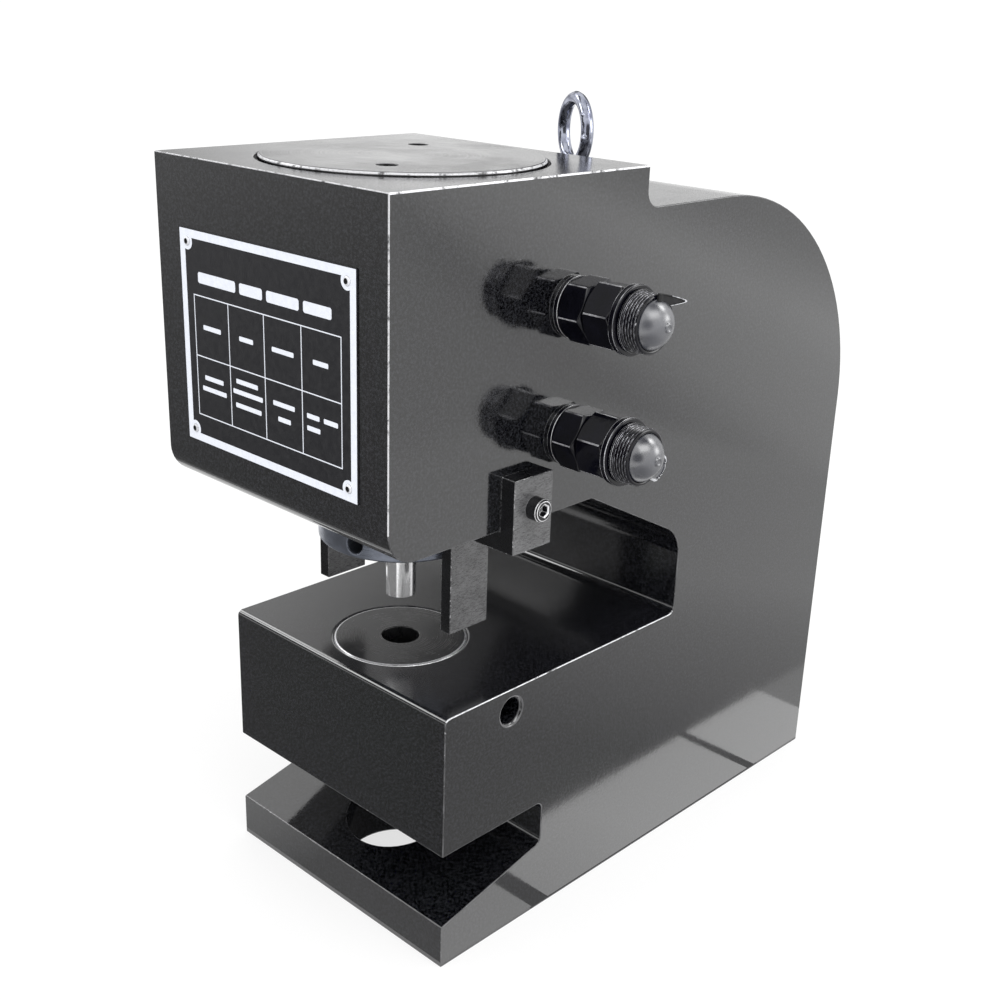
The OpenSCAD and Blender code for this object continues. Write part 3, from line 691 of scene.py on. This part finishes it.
def make_coupler(side):
    turn = HEX_TURNS[side]
    low, high = COUPLER_HEX
    start, end = THREAD
    hex_rule = hexagon(COUPLER_ACROSS, turn, low, high)
    collar = rounded([(high, 16), (high + 0.01, FLANGE_R, 0.7), (FLANGE_END, FLANGE_R, 0.9),
                      (FLANGE_END, NECK_R, 0.2), (BEAD[0], NECK_R, 0.2), (BEAD[0], BEAD_R, 0.5),
                      (BEAD[1], BEAD_R, 0.6), (BEAD[1], THREAD_R, 0), (start + 0.02, THREAD_R, 0)], 0, 4)
    crest = [(start + (end - 0.9 - start) * k / THREAD_ROWS, THREAD_R) for k in range(1, THREAD_ROWS + 1)]
    lip = [(end - 0.45, THREAD_R - 0.35), (end, THREAD_R - 1), (end, MOUTH_R + 0.7),
           (end - 0.3, MOUTH_R + 0.1), (end - 0.7, MOUTH_R), (RIM, MOUTH_R)]
    bore = [(RIM, THROAT_R), (THROAT, THROAT_R), (THROAT, SEAT_R), (SEAT, SEAT_R), (SEAT, SPRING_BORE_R),
            (STUB_END, SPRING_BORE_R), (STUB_END, SOCKET_BORE_R), (SOCKET_START, SOCKET_BORE_R),
            (SOCKET_START, NECK_R - 0.3), (SOCKET_START + 0.3, NECK_R), (low, NECK_R)]

    def rule(station, radius, angle):
        return (hex_rule if station <= high else thread_rule)(station, radius, angle)

    rows = hexagon_rows(COUPLER_ACROSS, low, high) + collar[1:] + crest + lip + bore
    add_coupler_piece(side, "_coupler_body", "_coupler", rows, hex_angles(turn), coupler_edge, rule,
                      (start, end - 1, THREAD_R - 0.07))


def make_check_valve(side):
    """A coupler's check ball, and the coil behind it, each a smooth closed copy of its CAD node, the coil
    with a mesh of its own.
    """
    closed_copy(side + "_check_ball", side + "_valve_ball")
    node, joint = side + "_check_spring", side + "_ball_slide"
    coil = closed_copy(node, side + "_spring_coil")
    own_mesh(coil)


# -------- dust plugs

DOME_R = 14.4
DOME_AT = 48.8
DOME_TIP = DOME_AT + DOME_R
# The moulding mark: how far past the dome's tip, and how far from the axis
MARK = [(-0.50, 3.4), (-0.36, 2.9), (0.15, 2.6), (0.42, 2.3), (0.55, 1.9), (0.42, 1.5), (0.16, 1.2),
        (0.08, 0.7), (0.06, 0)]
MARK_R = 3.9
PLUG_START = 45.4
PLUG_R = 13.3
PLUG_STEM_R = 11.2
EAR_AT = 54.8
EAR_T = 1.8
EAR_ROOT = 6


def make_dust_plug(side, ear_outline, ear_turn, web, ear_offset=0.0):
    """A plug: stem, dome with a ring-shaped moulding mark on its tip, and a pull ear. The ear's middle
    line is turned up by ear_turn degrees, and passes the plug's axis at ear_offset."""
    first, last = math.asin(PLUG_R / DOME_R), math.asin(MARK_R / DOME_R)
    turns = [first + (last - first) * k / 30 for k in range(31)]
    rows = ([(PLUG_START, 0), (PLUG_START, PLUG_STEM_R - 0.6), (PLUG_START + 0.6, PLUG_STEM_R),
             (RIM + 0.05, PLUG_STEM_R), (RIM + 0.05, PLUG_R - 0.4), (RIM + 0.45, PLUG_R)]
            + [(DOME_AT + DOME_R * math.cos(a), DOME_R * math.sin(a)) for a in turns]
            + [(DOME_TIP + past, radius) for past, radius in MARK])
    ear = ear_mesh([(x, y + ear_offset) for x, y in ear_outline])
    ear.transform(Matrix.Rotation(math.radians(90 + ear_turn), 4, "Z"))
    joined = bmesh.new()
    joined.from_mesh(lathe("dome", rows, even_angles(128)))
    joined.from_mesh(ear)
    mesh = to_mesh(joined, side + "_plug", materials["plug_rubber"], plug_rim, web)
    smooth(mesh, 40)
    add_piece(side + "_plug", out_of_side(mesh, side), [side + "_dust_plug"])


def ear_mesh(outline):
    """A flat ear with a raised pale rim round a web: outline is (along, across) points in millimetres.
    The rim wears the second material and the web the third."""
    points = [Vector(p) for p in outline]
    centre = sum(points, Vector((0, 0))) / len(points)
    layers = [(0.0, 0.93), (0.35, 1.0), (EAR_T - 0.45, 1.0), (EAR_T, 0.93), (EAR_T, 0.82),
              (EAR_T - 0.55, 0.74)]
    verts, faces, wears = [], [], []
    for height, share in layers:
        rim = [centre + (point - centre) * share for point in points]
        verts += [(at.x * MM, at.y * MM, (EAR_AT + height) * MM) for at in rim]
    count = len(points)
    for low in range(0, len(verts) - count, count):
        high = low + count
        for k in range(count):
            m = (k + 1) % count
            faces.append((low + k, low + m, high + m, high + k))
            at_root = min(points[k].x, points[m].x) < EAR_ROOT
            wears.append(2 if at_root or high + count == len(verts) else 1)
    faces += [tuple(reversed(range(count))), tuple(range(len(verts) - count, len(verts)))]
    mesh = bpy.data.meshes.new("ear")
    mesh.from_pydata(verts, [], faces)
    for polygon, index in zip(mesh.polygons, wears + [2, 2]):
        polygon.material_index = index
    return mesh


def leaf(root, reach, half_width):
    """The outline of an ear that narrows along a curve from its root to a blunt tip."""
    steps = [k / 14 for k in range(15)]
    side = [(root + (reach - root) * t, half_width * (1 - t ** 1.6) + 0.55 * t) for t in steps]
    return [(x, -y) for x, y in side] + [(reach + 0.4, 0)] + list(reversed(side))


def torn(root, reach, half_width):
    """The outline of a short ear with a ragged torn end."""
    pick = random.Random(SEED)
    end = []
    for across in (k / 8 - 1 for k in range(17)):
        end.append((reach - 2.6 * across ** 2 - pick.uniform(0, 1.6), half_width * across * 0.9))
    return [(root, -half_width), *end, (root, half_width)]


# -------- eye bolt

EYE_LIFT = 31
EYE_RING_R = 18.9
EYE_BAR = 8.2
EYE_RIDGE = 0.35
EYE_TURN = -27
EYE_VOXEL = 0.42
EYE_STEM = [(-22, 0), (-22, 5), (-21, 6), (0.05, 6), (0.05, 12.6), (0.6, 13), (2.6, 12.8), (3.9, 11.9),
            (5.0, 9.6), (5.8, 7.4), (7.0, 6.2), (9.5, 5.0), (12, 4.2), (12, 0)]
# Drops of plating metal: angle round the ring, how far towards its -Y side, and size
DROPS = [(-8, 3.3, 1.5), (-12, 3.6, 1.2), (-4, 2.2, 1.3), (-14, 2.0, 1.1), (30, 3.7, 1.0), (33, 2.4, 0.8)]
DROPS_R = EYE_RING_R + 2.3


def ring_section(a):
    """A point of the ring's section: a round bar with a thin parting ridge inside and outside."""
    bar = EYE_BAR / 2 - EYE_RIDGE
    ridge = EYE_RIDGE * math.exp(-(math.sin(a) / 0.16) ** 2)
    return math.cos(a) * (bar + ridge), 1.04 * bar * math.sin(a)


def make_eye_bolt():
    """A forged ring with its parting ridge, on a neck and collar, with drops of plating metal."""
    foot = Vector((*middle_of("eye_bolt").xy, boxes["eye_bolt"][1].z)) / MM
    foot.z -= EYE_LIFT + EYE_RING_R + EYE_BAR / 2
    section = [ring_section(a) for a in even_angles(36)]
    shape = bmesh.new()
    rings = []
    for around in even_angles(120) + [2 * math.pi]:
        outward = Vector((math.cos(around), 0, math.sin(around)))
        rings.append([outward * (EYE_RING_R + r) + Vector((0, w, EYE_LIFT)) for r, w in section])
    add_grid(shape, rings)
    add_grid(shape, [[(r * math.cos(a), r * math.sin(a), z) for a in even_angles(48)] for z, r in EYE_STEM])
    for around, across, size in DROPS:
        a = math.radians(around)
        place = Vector((DROPS_R * math.cos(a), -across, EYE_LIFT + DROPS_R * math.sin(a)))
        bmesh.ops.create_icosphere(shape, subdivisions=2, radius=size, matrix=Matrix.Translation(place))
    bmesh.ops.remove_doubles(shape, verts=shape.verts, dist=1e-4)
    bmesh.ops.recalc_face_normals(shape, faces=shape.faces)
    shape.transform(Matrix.Scale(MM, 4) @ Matrix.Translation(foot)
                    @ Matrix.Rotation(math.radians(EYE_TURN), 4, "Z"))
    mesh = to_mesh(shape, "lifting_eye", materials["plated_steel"])
    mesh = applied(mesh, "REMESH", mode="VOXEL", voxel_size=EYE_VOXEL * MM)
    mesh = applied(mesh, "SMOOTH", factor=0.5, iterations=3)
    smooth(mesh, 180)
    add_piece("lifting_eye", mesh, ["eye_bolt"])


# -------- nameplate

INK_T = 0.06
BORDER_IN = 0.4
BORDER_W = 4.9
RIVET_IN = 7
RIVET_GAP_R = 2.6
EAR_R = 4.6
LINE_W = 0.6
# Table lines and the plain bars that stand for words, from the plate's centre
TABLE_X = (-62, -31.2, -0.4, 30.4, 61.5)
TABLE_Z = (-43, -9.3, 24.3)
TITLE_BARS = [(-57.5, -24), (-20.5, -1), (2.5, 29), (32.5, 54.5)]
TITLE_Z = 34.3
TITLE_H = 6
CELL_BARS = [(-54.5, -38.5, 7.5), (-22, -10, 7.5), (6, 24, 7.5), (39.5, 51.5, 7.5),
             (-55, -38, -20.7), (-57.5, -35.5, -27), (-26, -7, -16.4), (-29, -3, -22.3), (-27, -4.5, -29.8),
             (6, 24, -21), (10, 20.5, -29), (34, 44, -21.5), (47.5, 58.5, -21.5), (34, 44.5, -28)]
CELL_H = 2.6


def ink_shape(shape, outline, holes=()):
    """Adds a thin raised shape of ink with an outline and holes, in millimetres from the plate's centre."""
    front, middle_z = boxes["nameplate"][0].y, middle_of("nameplate").z
    edges = []
    for loop in [outline, *holes]:
        verts = [shape.verts.new((x * MM, front, middle_z + z * MM)) for x, z in loop]
        edges += [shape.edges.new((verts[k - 1], verts[k])) for k in range(len(verts))]
    filled = bmesh.ops.triangle_fill(shape, use_beauty=True, edges=edges)
    faces = [f for f in filled["geom"] if isinstance(f, bmesh.types.BMFace)]
    pushed = bmesh.ops.extrude_face_region(shape, geom=faces, use_keep_orig=True)
    for item in pushed["geom"]:
        if isinstance(item, bmesh.types.BMVert):
            item.co.y -= INK_T * MM


def rectangle(x0, z0, x1, z1, cut=0.0):
    """A rectangle's outline, with its corners cut off where cut is given."""
    if not cut:
        return [(x0, z0), (x1, z0), (x1, z1), (x0, z1)]
    return [(x0 + cut, z0), (x1 - cut, z0), (x1, z0 + cut), (x1, z1 - cut),
            (x1 - cut, z1), (x0 + cut, z1), (x0, z1 - cut), (x0, z0 + cut)]


def arc(x, z, r, turns):
    return [(x + r * math.cos(a), z + r * math.sin(a)) for a in turns]


def border_hole(half_w, half_h, rivet_x, rivet_z):
    """The border's inner outline, which bulges in round each corner's rivet."""
    first = -math.acos((half_w - rivet_x) / EAR_R)
    last = -math.pi - math.asin((half_h - rivet_z) / EAR_R)
    corner = arc(rivet_x, rivet_z, EAR_R, [first + (last - first) * k / 12 for k in range(13)])
    outline = []
    for sx, sz in ((1, 1), (-1, 1), (-1, -1), (1, -1)):
        points = [(sx * x, sz * z) for x, z in corner]
        outline += points if sx == sz else reversed(points)
    return outline


def make_nameplate_print():
    low, high = boxes["nameplate"]
    half_w, half_h = (high.x - low.x) / 2 / MM, (high.z - low.z) / 2 / MM
    rivet_x, rivet_z = half_w - RIVET_IN, half_h - RIVET_IN
    shape = bmesh.new()
    outer = rectangle(BORDER_IN - half_w, BORDER_IN - half_h, half_w - BORDER_IN, half_h - BORDER_IN)
    rivets = [(x, z) for x in (-rivet_x, rivet_x) for z in (-rivet_z, rivet_z)]
    holes = [arc(x, z, RIVET_GAP_R, even_angles(20)) for x, z in rivets]
    ink_shape(shape, outer, [border_hole(half_w - BORDER_W, half_h - BORDER_W, rivet_x, rivet_z), *holes])
    half = LINE_W / 2
    cells = [rectangle(x0 + half, z0 + half, x1 - half, z1 - half)
             for x0, x1 in zip(TABLE_X, TABLE_X[1:]) for z0, z1 in zip(TABLE_Z, TABLE_Z[1:])]
    table = rectangle(TABLE_X[0] - half, TABLE_Z[0] - half, TABLE_X[-1] + half, TABLE_Z[-1] + half)
    ink_shape(shape, table, cells)
    bars = [(x0, x1, TITLE_Z, TITLE_H) for x0, x1 in TITLE_BARS]
    bars += [(x0, x1, z, CELL_H) for x0, x1, z in CELL_BARS]
    for x0, x1, z, h in bars:
        ink_shape(shape, rectangle(x0, z - h / 2, x1, z + h / 2, 0.15 * h))
    bmesh.ops.recalc_face_normals(shape, faces=shape.faces)
    mesh = to_mesh(shape, "nameplate_print", plate_ink)
    add_piece("nameplate_print", mesh, [], slot="plate_print", body="frame")


RIVET_ROWS = [(-5, 0), (-5, 1.15), (-4.85, 1.3), (0.8, 1.3), (0.8, 2.4), (0.92, 2.5), (1.1, 2.42),
              (1.35, 2.2), (1.55, 1.95), (1.68, 1.7), (1.7, 1.5), (1.62, 1.38), (1.4, 1.32), (0.95, 1.3),
              (0.95, 0)]
RIVET_HOLE_R = 1.45


def make_rivets():
    """Blind rivets: a low domed head with the shallow hole of its drawn pin, painted black as the shade deep
    inside it.
    """
    rivet = lathe("rivet", RIVET_ROWS, even_angles(32))
    for polygon in rivet.polygons:
        # The hole's faces wear black: painted shade.
        in_hole = polygon.center.xy.length < RIVET_HOLE_R * MM and polygon.center.z > 0
        polygon.material_index = 1 if in_hole else 0
    rivet.transform(Matrix.Rotation(math.pi / 2, 4, "X"))
    low, high = boxes["nameplate"]
    inset = RIVET_IN * MM
    shape = bmesh.new()
    for x in (low.x + inset, high.x - inset):
        for z in (low.z + inset, high.z - inset):
            copy = rivet.copy()
            copy.transform(Matrix.Translation((x, boxes["c_frame"][0].y, z)))
            shape.from_mesh(copy)
    mesh = to_mesh(shape, "plate_rivets", materials["rivet_metal"], materials["black_rubber"])
    smooth(mesh, TURNED_SHARP)
    add_piece("plate_rivets", mesh, ["nameplate_rivets"])


# -------- pieces with rounded edges

# In millimetres: the frame's faces, and heights and places on it
FRONT = boxes["c_frame"][0].y / MM
SIDE = boxes["c_frame"][1].x / MM
HEAD_TOP = boxes["c_frame"][1].z / MM
JAW_TOP = boxes["die"][1].z / MM
THROAT_BACK = 60
CORNERS_RUBBED_AND_HIGHLIT_FROM = 290
PRINT_HALF_W = 72
# Corners of a box round the edges inside the head
BORE_LOW = (-94.9, -218, 266)
BORE_HIGH = (94.9, -55, 445)
DIE_HOLE_EDGE_R = 30
CAP_R = (boxes["cylinder_cap"][1] - boxes["cylinder_cap"][0]).x / 2 / MM
SCREW_FACE = boxes["stripper_screw_right"][1].x / MM
SOCKET_R = 4.5


def frame_shares(p):
    """How wide the frame's edges are: widest along the top's sides, thin behind the nameplate and inside
    the head."""
    if p.y < FRONT + 6.5 and abs(p.x) < PRINT_HALF_W:
        return 0.1
    if p.z > HEAD_TOP - 0.1 and abs(p.x) > SIDE - 0.1:
        return 1.0
    inside = all(low < v < high for low, v, high in zip(BORE_LOW, p, BORE_HIGH))
    return 0.16 if inside else 0.6


def screw_shares(p):
    """The socket's mouth has the widest edge."""
    from_axis = (p - middle_of("stripper_screw_right") / MM).yz.length
    return 1.0 if from_axis < SOCKET_R and abs(p.x) > SCREW_FACE - 0.1 else 0.35


def rubbed_and_highlit_frame_edge(middle, normal, is_edge):
    """The head's top edges, the upper part of its upright front corners and the jaw's side edges, which wear
    the pale edge colour: partly rubbed paint, partly a painted highlight.
    """
    out, at_front = abs(middle.x), middle.y < FRONT + 1.5
    at_top = middle.z > HEAD_TOP - 1.5 and (at_front or out > SIDE - 1.5)
    at_corner = at_front and middle.z > CORNERS_RUBBED_AND_HIGHLIT_FROM and out > SIDE - 2
    at_jaw = out > SIDE - 1.5 and abs(middle.z - JAW_TOP) < 1.5 and middle.y < THROAT_BACK
    return is_edge and (at_top or at_corner or at_jaw)


def level_face(middle, normal, is_edge):
    return not is_edge and normal.z > 0.98


def cap_wall(middle, normal, is_edge):
    """The cap's rim above the head, which wears the pale edge colour: partly bare metal, partly a painted
    reflection of the bright surroundings.
    """
    out = (middle - middle_of("cylinder_cap") / MM).xy.length
    return middle.z > HEAD_TOP - 0.3 and out > CAP_R - 0.7


def near_die_hole(middle, normal, is_edge):
    return is_edge and (middle - middle_of("die") / MM).xy.length < DIE_HOLE_EDGE_R


def stripper_back_edge(middle, normal, is_edge):
    """The clamp block's edge against the frame's side, rubbed in spots."""
    return is_edge and abs(abs(middle.x) - SIDE) < 1.0


def outward_face(middle, normal, is_edge):
    return not is_edge and abs(normal.x) > 0.9


def use_cad_materials():
    for node, piece in nodes.items():
        piece.data.materials.clear()
        piece.data.materials.append(materials[slots[node]])


def build_pieces():
    bevelled("c_frame", "frame_block", 1.02, worn_edge, frame_shares,
             [(bare_and_highlit_edge, rubbed_and_highlit_frame_edge), (level_paint, level_face)])
    bevelled("cylinder_cap", "top_cap", 0.4, worn_edge, others=[(bare_and_highlit_edge, cap_wall)])
    bevelled("die", "die_ring", 0.55, ring_edge, others=[(materials["die_steel"], near_die_hole)])
    bevelled("punch", "punch_pin", 0.3, materials["punch_steel"])
    bevelled("ram", "ram_piston", 0.4, materials["ram_steel"])
    for side in ("right", "left"):
        bevelled("stripper_" + side, "stripper_bar_" + side, 0.45, chipped_edge,
                 others=[(stripper_face, outward_face), (dashed_edge, stripper_back_edge)])
        bevelled("stripper_screw_" + side, "clamp_screw_" + side, 0.8, bright_edge, screw_shares)
    for side in ("upper", "lower"):
        make_washer(side)
        make_adapter(side)
        make_coupler(side)
        make_check_valve(side)
    # The upper ear's web is painted black for the shade inside its loop.
    make_dust_plug("upper", leaf(-3, 21.4, 3.4), -8.7, plug_web, 12.9)
    make_dust_plug("lower", torn(8.4, 17.6, 8.2), -36, materials["plug_rubber"])
    make_eye_bolt()
    make_nameplate_print()
    make_rivets()


# -------- studio

# In metres. WORLD is the strength of the white all round, to which the lamps and dark patches fade
WORLD = 1.12
FLOOR_HALF = 40
CARD_Z = 0.002
LOWER_CARD_Z = 0.001
# The strip before the foot, and the board along the foot's side: where each of its lengths starts and
# ends, how wide it is, and its strength
FOOT_FRONT = -0.1915
STRIP_END = -0.245
BOARD_W = 0.063
BOARDS = [(-0.30, -0.112, 0.038, [(0, 1.2)]), (-0.097, 0.124, BOARD_W, [(0, 1.35), (0.1, 1.6)]),
          (0.1325, 0.2315, BOARD_W, [(0, 1.7)])]
LAMP_PLACE = Vector((1.6, -0.4, 2.4))
LAMP_TARGET = Vector((0, 0, 0.25))
LAMP_SIZE = 2.0
LAMP_POWER = 25


def staged(name, corners, material):
    """A flat piece with four corners that belongs to the studio."""
    mesh = bpy.data.meshes.new(name)
    mesh.from_pydata(corners, [], [(0, 1, 2, 3)])
    mesh.materials.append(material)
    piece = added(name, mesh)
    return piece


def card(name, corner, side_a, side_b, stops, centre=None, toward=None):
    """A glowing card that only reflections see. stops are pairs of a distance from centre, or from the corner
    where none is given, and the strength there. The distance is measured every way, or only toward one."""
    centre = Vector(centre or corner)
    first, a, b = Vector(corner) - centre, Vector(side_a), Vector(side_b)
    reach = stops[-1][0] or 1.0
    peak = max(strength for _, strength in stops)
    s = Shader(name)
    if toward:
        far = s.node("VectorMath", {0: s.place, 1: Vector(toward).normalized()}, operation="DOT_PRODUCT")
    else:
        far = s.node("VectorMath", {0: s.place}, operation="LENGTH")
    fade = s.node("ValToRGB", {"Fac": s.math("DIVIDE", far.outputs["Value"], reach)})
    elements = fade.color_ramp.elements
    elements.remove(elements[1])
    for k, (distance, strength) in enumerate(stops):
        element = elements[0] if k == 0 else elements.new(distance / reach)
        element.position = distance / reach
        element.color = [strength / peak] * 3 + [1]
    glow = s.node("Emission", {"Color": fade.outputs["Color"], "Strength": peak})
    s.put(s.nodes["Material Output"].inputs["Surface"], glow.outputs["Emission"])
    piece = staged(name, [first, first + a, first + a + b, first + b], s.material)
    piece.location = centre
    for ray in ("camera", "shadow", "transmission", "diffuse"):
        setattr(piece, "visible_" + ray, False)


def add_floor_cards():
    """Low cards that the upright faces mirror: dark in front of the nameplate, with a paler strip before
    the foot, and beside the right face dark close by and brighter towards the back, with a light board
    along the foot. A dark one lies under the foot's hole."""
    right = SIDE * MM
    card("front_card", (right + 0.02, STRIP_END, CARD_Z), (-5, 0, 0), (0, -4, 0), [(0, 0.13), (3.6, 0.40)])
    card("foot_card", (-1, FOOT_FRONT, CARD_Z), (1 + right, 0, 0), (0, STRIP_END - FOOT_FRONT, 0),
         [(0, 0.75), (0.05, 0.6), (0.10, 0.36), (1, 0.34)], (-0.13, -0.22, CARD_Z))
    card("far_card", (right + BOARD_W, -0.55, LOWER_CARD_Z), (5, 0, 0), (0, 6, 0),
         [(0, 0.8), (0.6, 0.78), (0.73, 0.66), (0.9, 1.0), (1.12, 1.12), (1.25, 1.25), (1.6, 0.85),
          (4, 0.85)], (0, -0.5, LOWER_CARD_Z), (-0.6, 1, 0))
    card("near_card", (right + BOARD_W, -0.55, CARD_Z), (0.65, 0, 0), (0, 1.3, 0),
         [(0, 0.36), (0.17, 0.38), (0.25, 0.5), (0.39, 0.68), (0.5, 0.86), (0.8, 0.86), (1.2, 1.0)],
         (0, 0, CARD_Z), (0.6, 0.8, 0))
    for k, (start, end, width, stops) in enumerate(BOARDS, 1):
        card("board_card_%d" % k, (right, start, CARD_Z), (width, 0, 0), (0, end - start, 0), stops)
    card("seam_card", (right, -0.113, LOWER_CARD_Z), (BOARD_W + 0.001, 0, 0), (0, 0.25, 0), [(0, 0.35)])
    card("ground_card", (right, BOARDS[-1][1], LOWER_CARD_Z), (BOARD_W, 0, 0), (0, 1.5, 0), [(0, 0.85)])
    card("hole_card", (-0.05, -0.19, LOWER_CARD_Z), (0.1, 0, 0), (0, 0.1, 0), [(0, 0.03)])


def add_wall_cards():
    """Upright cards that the level faces mirror: a wall behind that is bright low down, where the head's top
    sees it, and fades to dark on the right higher up, where the jaw sees it, and at the front left a dark
    band for the throat below a soft box for the jaw's lip."""
    wall, along = Vector((-2.6, 0.3, 0)), Vector((2.2, 2.2, 0))
    card("low_card", wall, along, (0, 0, 0.9),
         [(0, 1.05), (0.45, 1.3), (0.72, 1.0), (0.98, 0.58), (1.9, 0.5)],
         wall + 0.6 * along + Vector((0, 0, 0.70)))
    card("high_card", wall + Vector((0, 0, 0.9)), along, (0, 0, 1.0),
         [(0, 0.95), (0.5, 0.85), (0.72, 0.48), (0.95, 0.2), (2.6, 0.16)],
         wall + 0.2 * along + Vector((0, 0, 1.1)))
    corner, across = Vector((-2.6, -0.5, 0.5)), Vector((2.1, -2.1, 0))
    card("dark_card", corner, across, (0, 0, 0.65), [(0, 0.1), (0.45, 0.1), (0.65, 0.9)], corner, (0, 0, 1))
    card("lip_card", corner + Vector((0, 0, 0.65)), across, (0, 0, 0.9),
         [(0, 4.6), (0.35, 4.2), (0.6, WORLD), (3, WORLD)], corner + 0.42 * across + Vector((0, 0, 1.05)))


def add_spots():
    """Lamps behind the right shoulder for the upper edges and lower down for the domes, two patches of dark
    ceiling, of which the left one ends in a bright strip, and behind the viewer a dark screen and a dark
    patch, which give the round parts their dark middles."""
    card("edge_card", (0.55, 1.5, 1.6), (0.8, 0.1, 0), (0, -0.4, 0.7),
         [(0, 8), (0.3, 7), (0.6, WORLD), (2, WORLD)], (0.95, 1.35, 1.95))
    card("dome_card", (0.9, 2.4, 0.3), (1.7, -1.5, 0), (0, 0, 1.8),
         [(0, 6), (0.25, 5), (0.7, WORLD), (3, WORLD)], (1.75, 1.65, 0.95))
    card("ceiling_card", (-0.3, -1.0, 2.6), (2.8, 0, 0), (0, 2.6, 0),
         [(0, 0.1), (0.7, 0.15), (1.2, WORLD), (3, WORLD)], (1.0, 0.5, 2.6))
    card("left_ceiling_card", (-3.7, -1.0, 2.6), (2.6, 0, 0), (0, 1.38, 0),
         [(0, WORLD), (0.25, 0.2), (0.8, 0.25), (1.4, 4), (2.0, 4.5), (2.6, WORLD)],
         (-1.1, 0, 2.6), (-1, 0, 0))
    card("screen_card", (0.45, -1.9, 0.02), (1.35, 1.25, 0), (0, 0, 1.15),
         [(0, 0.1), (0.5, 0.16), (0.8, WORLD), (3, WORLD)], (1.12, -1.27, 0.52))
    card("eye_card", (-2.2, -3.4, 2.61), (2.0, 0, 0), (0, 2.0, 0),
         [(0, 0.15), (0.5, 0.2), (0.95, WORLD), (3, WORLD)], (-1.26, -2.4, 2.61))


def add_lamp():
    light = bpy.data.lights.new("key", "AREA")
    light.size = LAMP_SIZE
    light.energy = LAMP_POWER
    lamp = added("key", light)
    lamp.location = LAMP_PLACE
    lamp.rotation_euler = (LAMP_TARGET - LAMP_PLACE).to_track_quat("-Z", "Y").to_euler()


def make_studio():
    world = bpy.data.worlds.new("studio")
    bpy.context.scene.world = world
    world.use_nodes = True
    background = world.node_tree.nodes["Background"]
    background.inputs["Color"].default_value = (1, 1, 1, 1)
    background.inputs["Strength"].default_value = WORLD
    half = FLOOR_HALF
    staged("floor", [(-half, -half, 0), (half, -half, 0), (half, half, 0), (-half, half, 0)], floor_surface())
    add_floor_cards()
    add_wall_cards()
    add_spots()
    add_lamp()
    bpy.context.scene.view_settings.view_transform = "Standard"


make_camera()
use_cad_materials()
build_pieces()
make_studio()
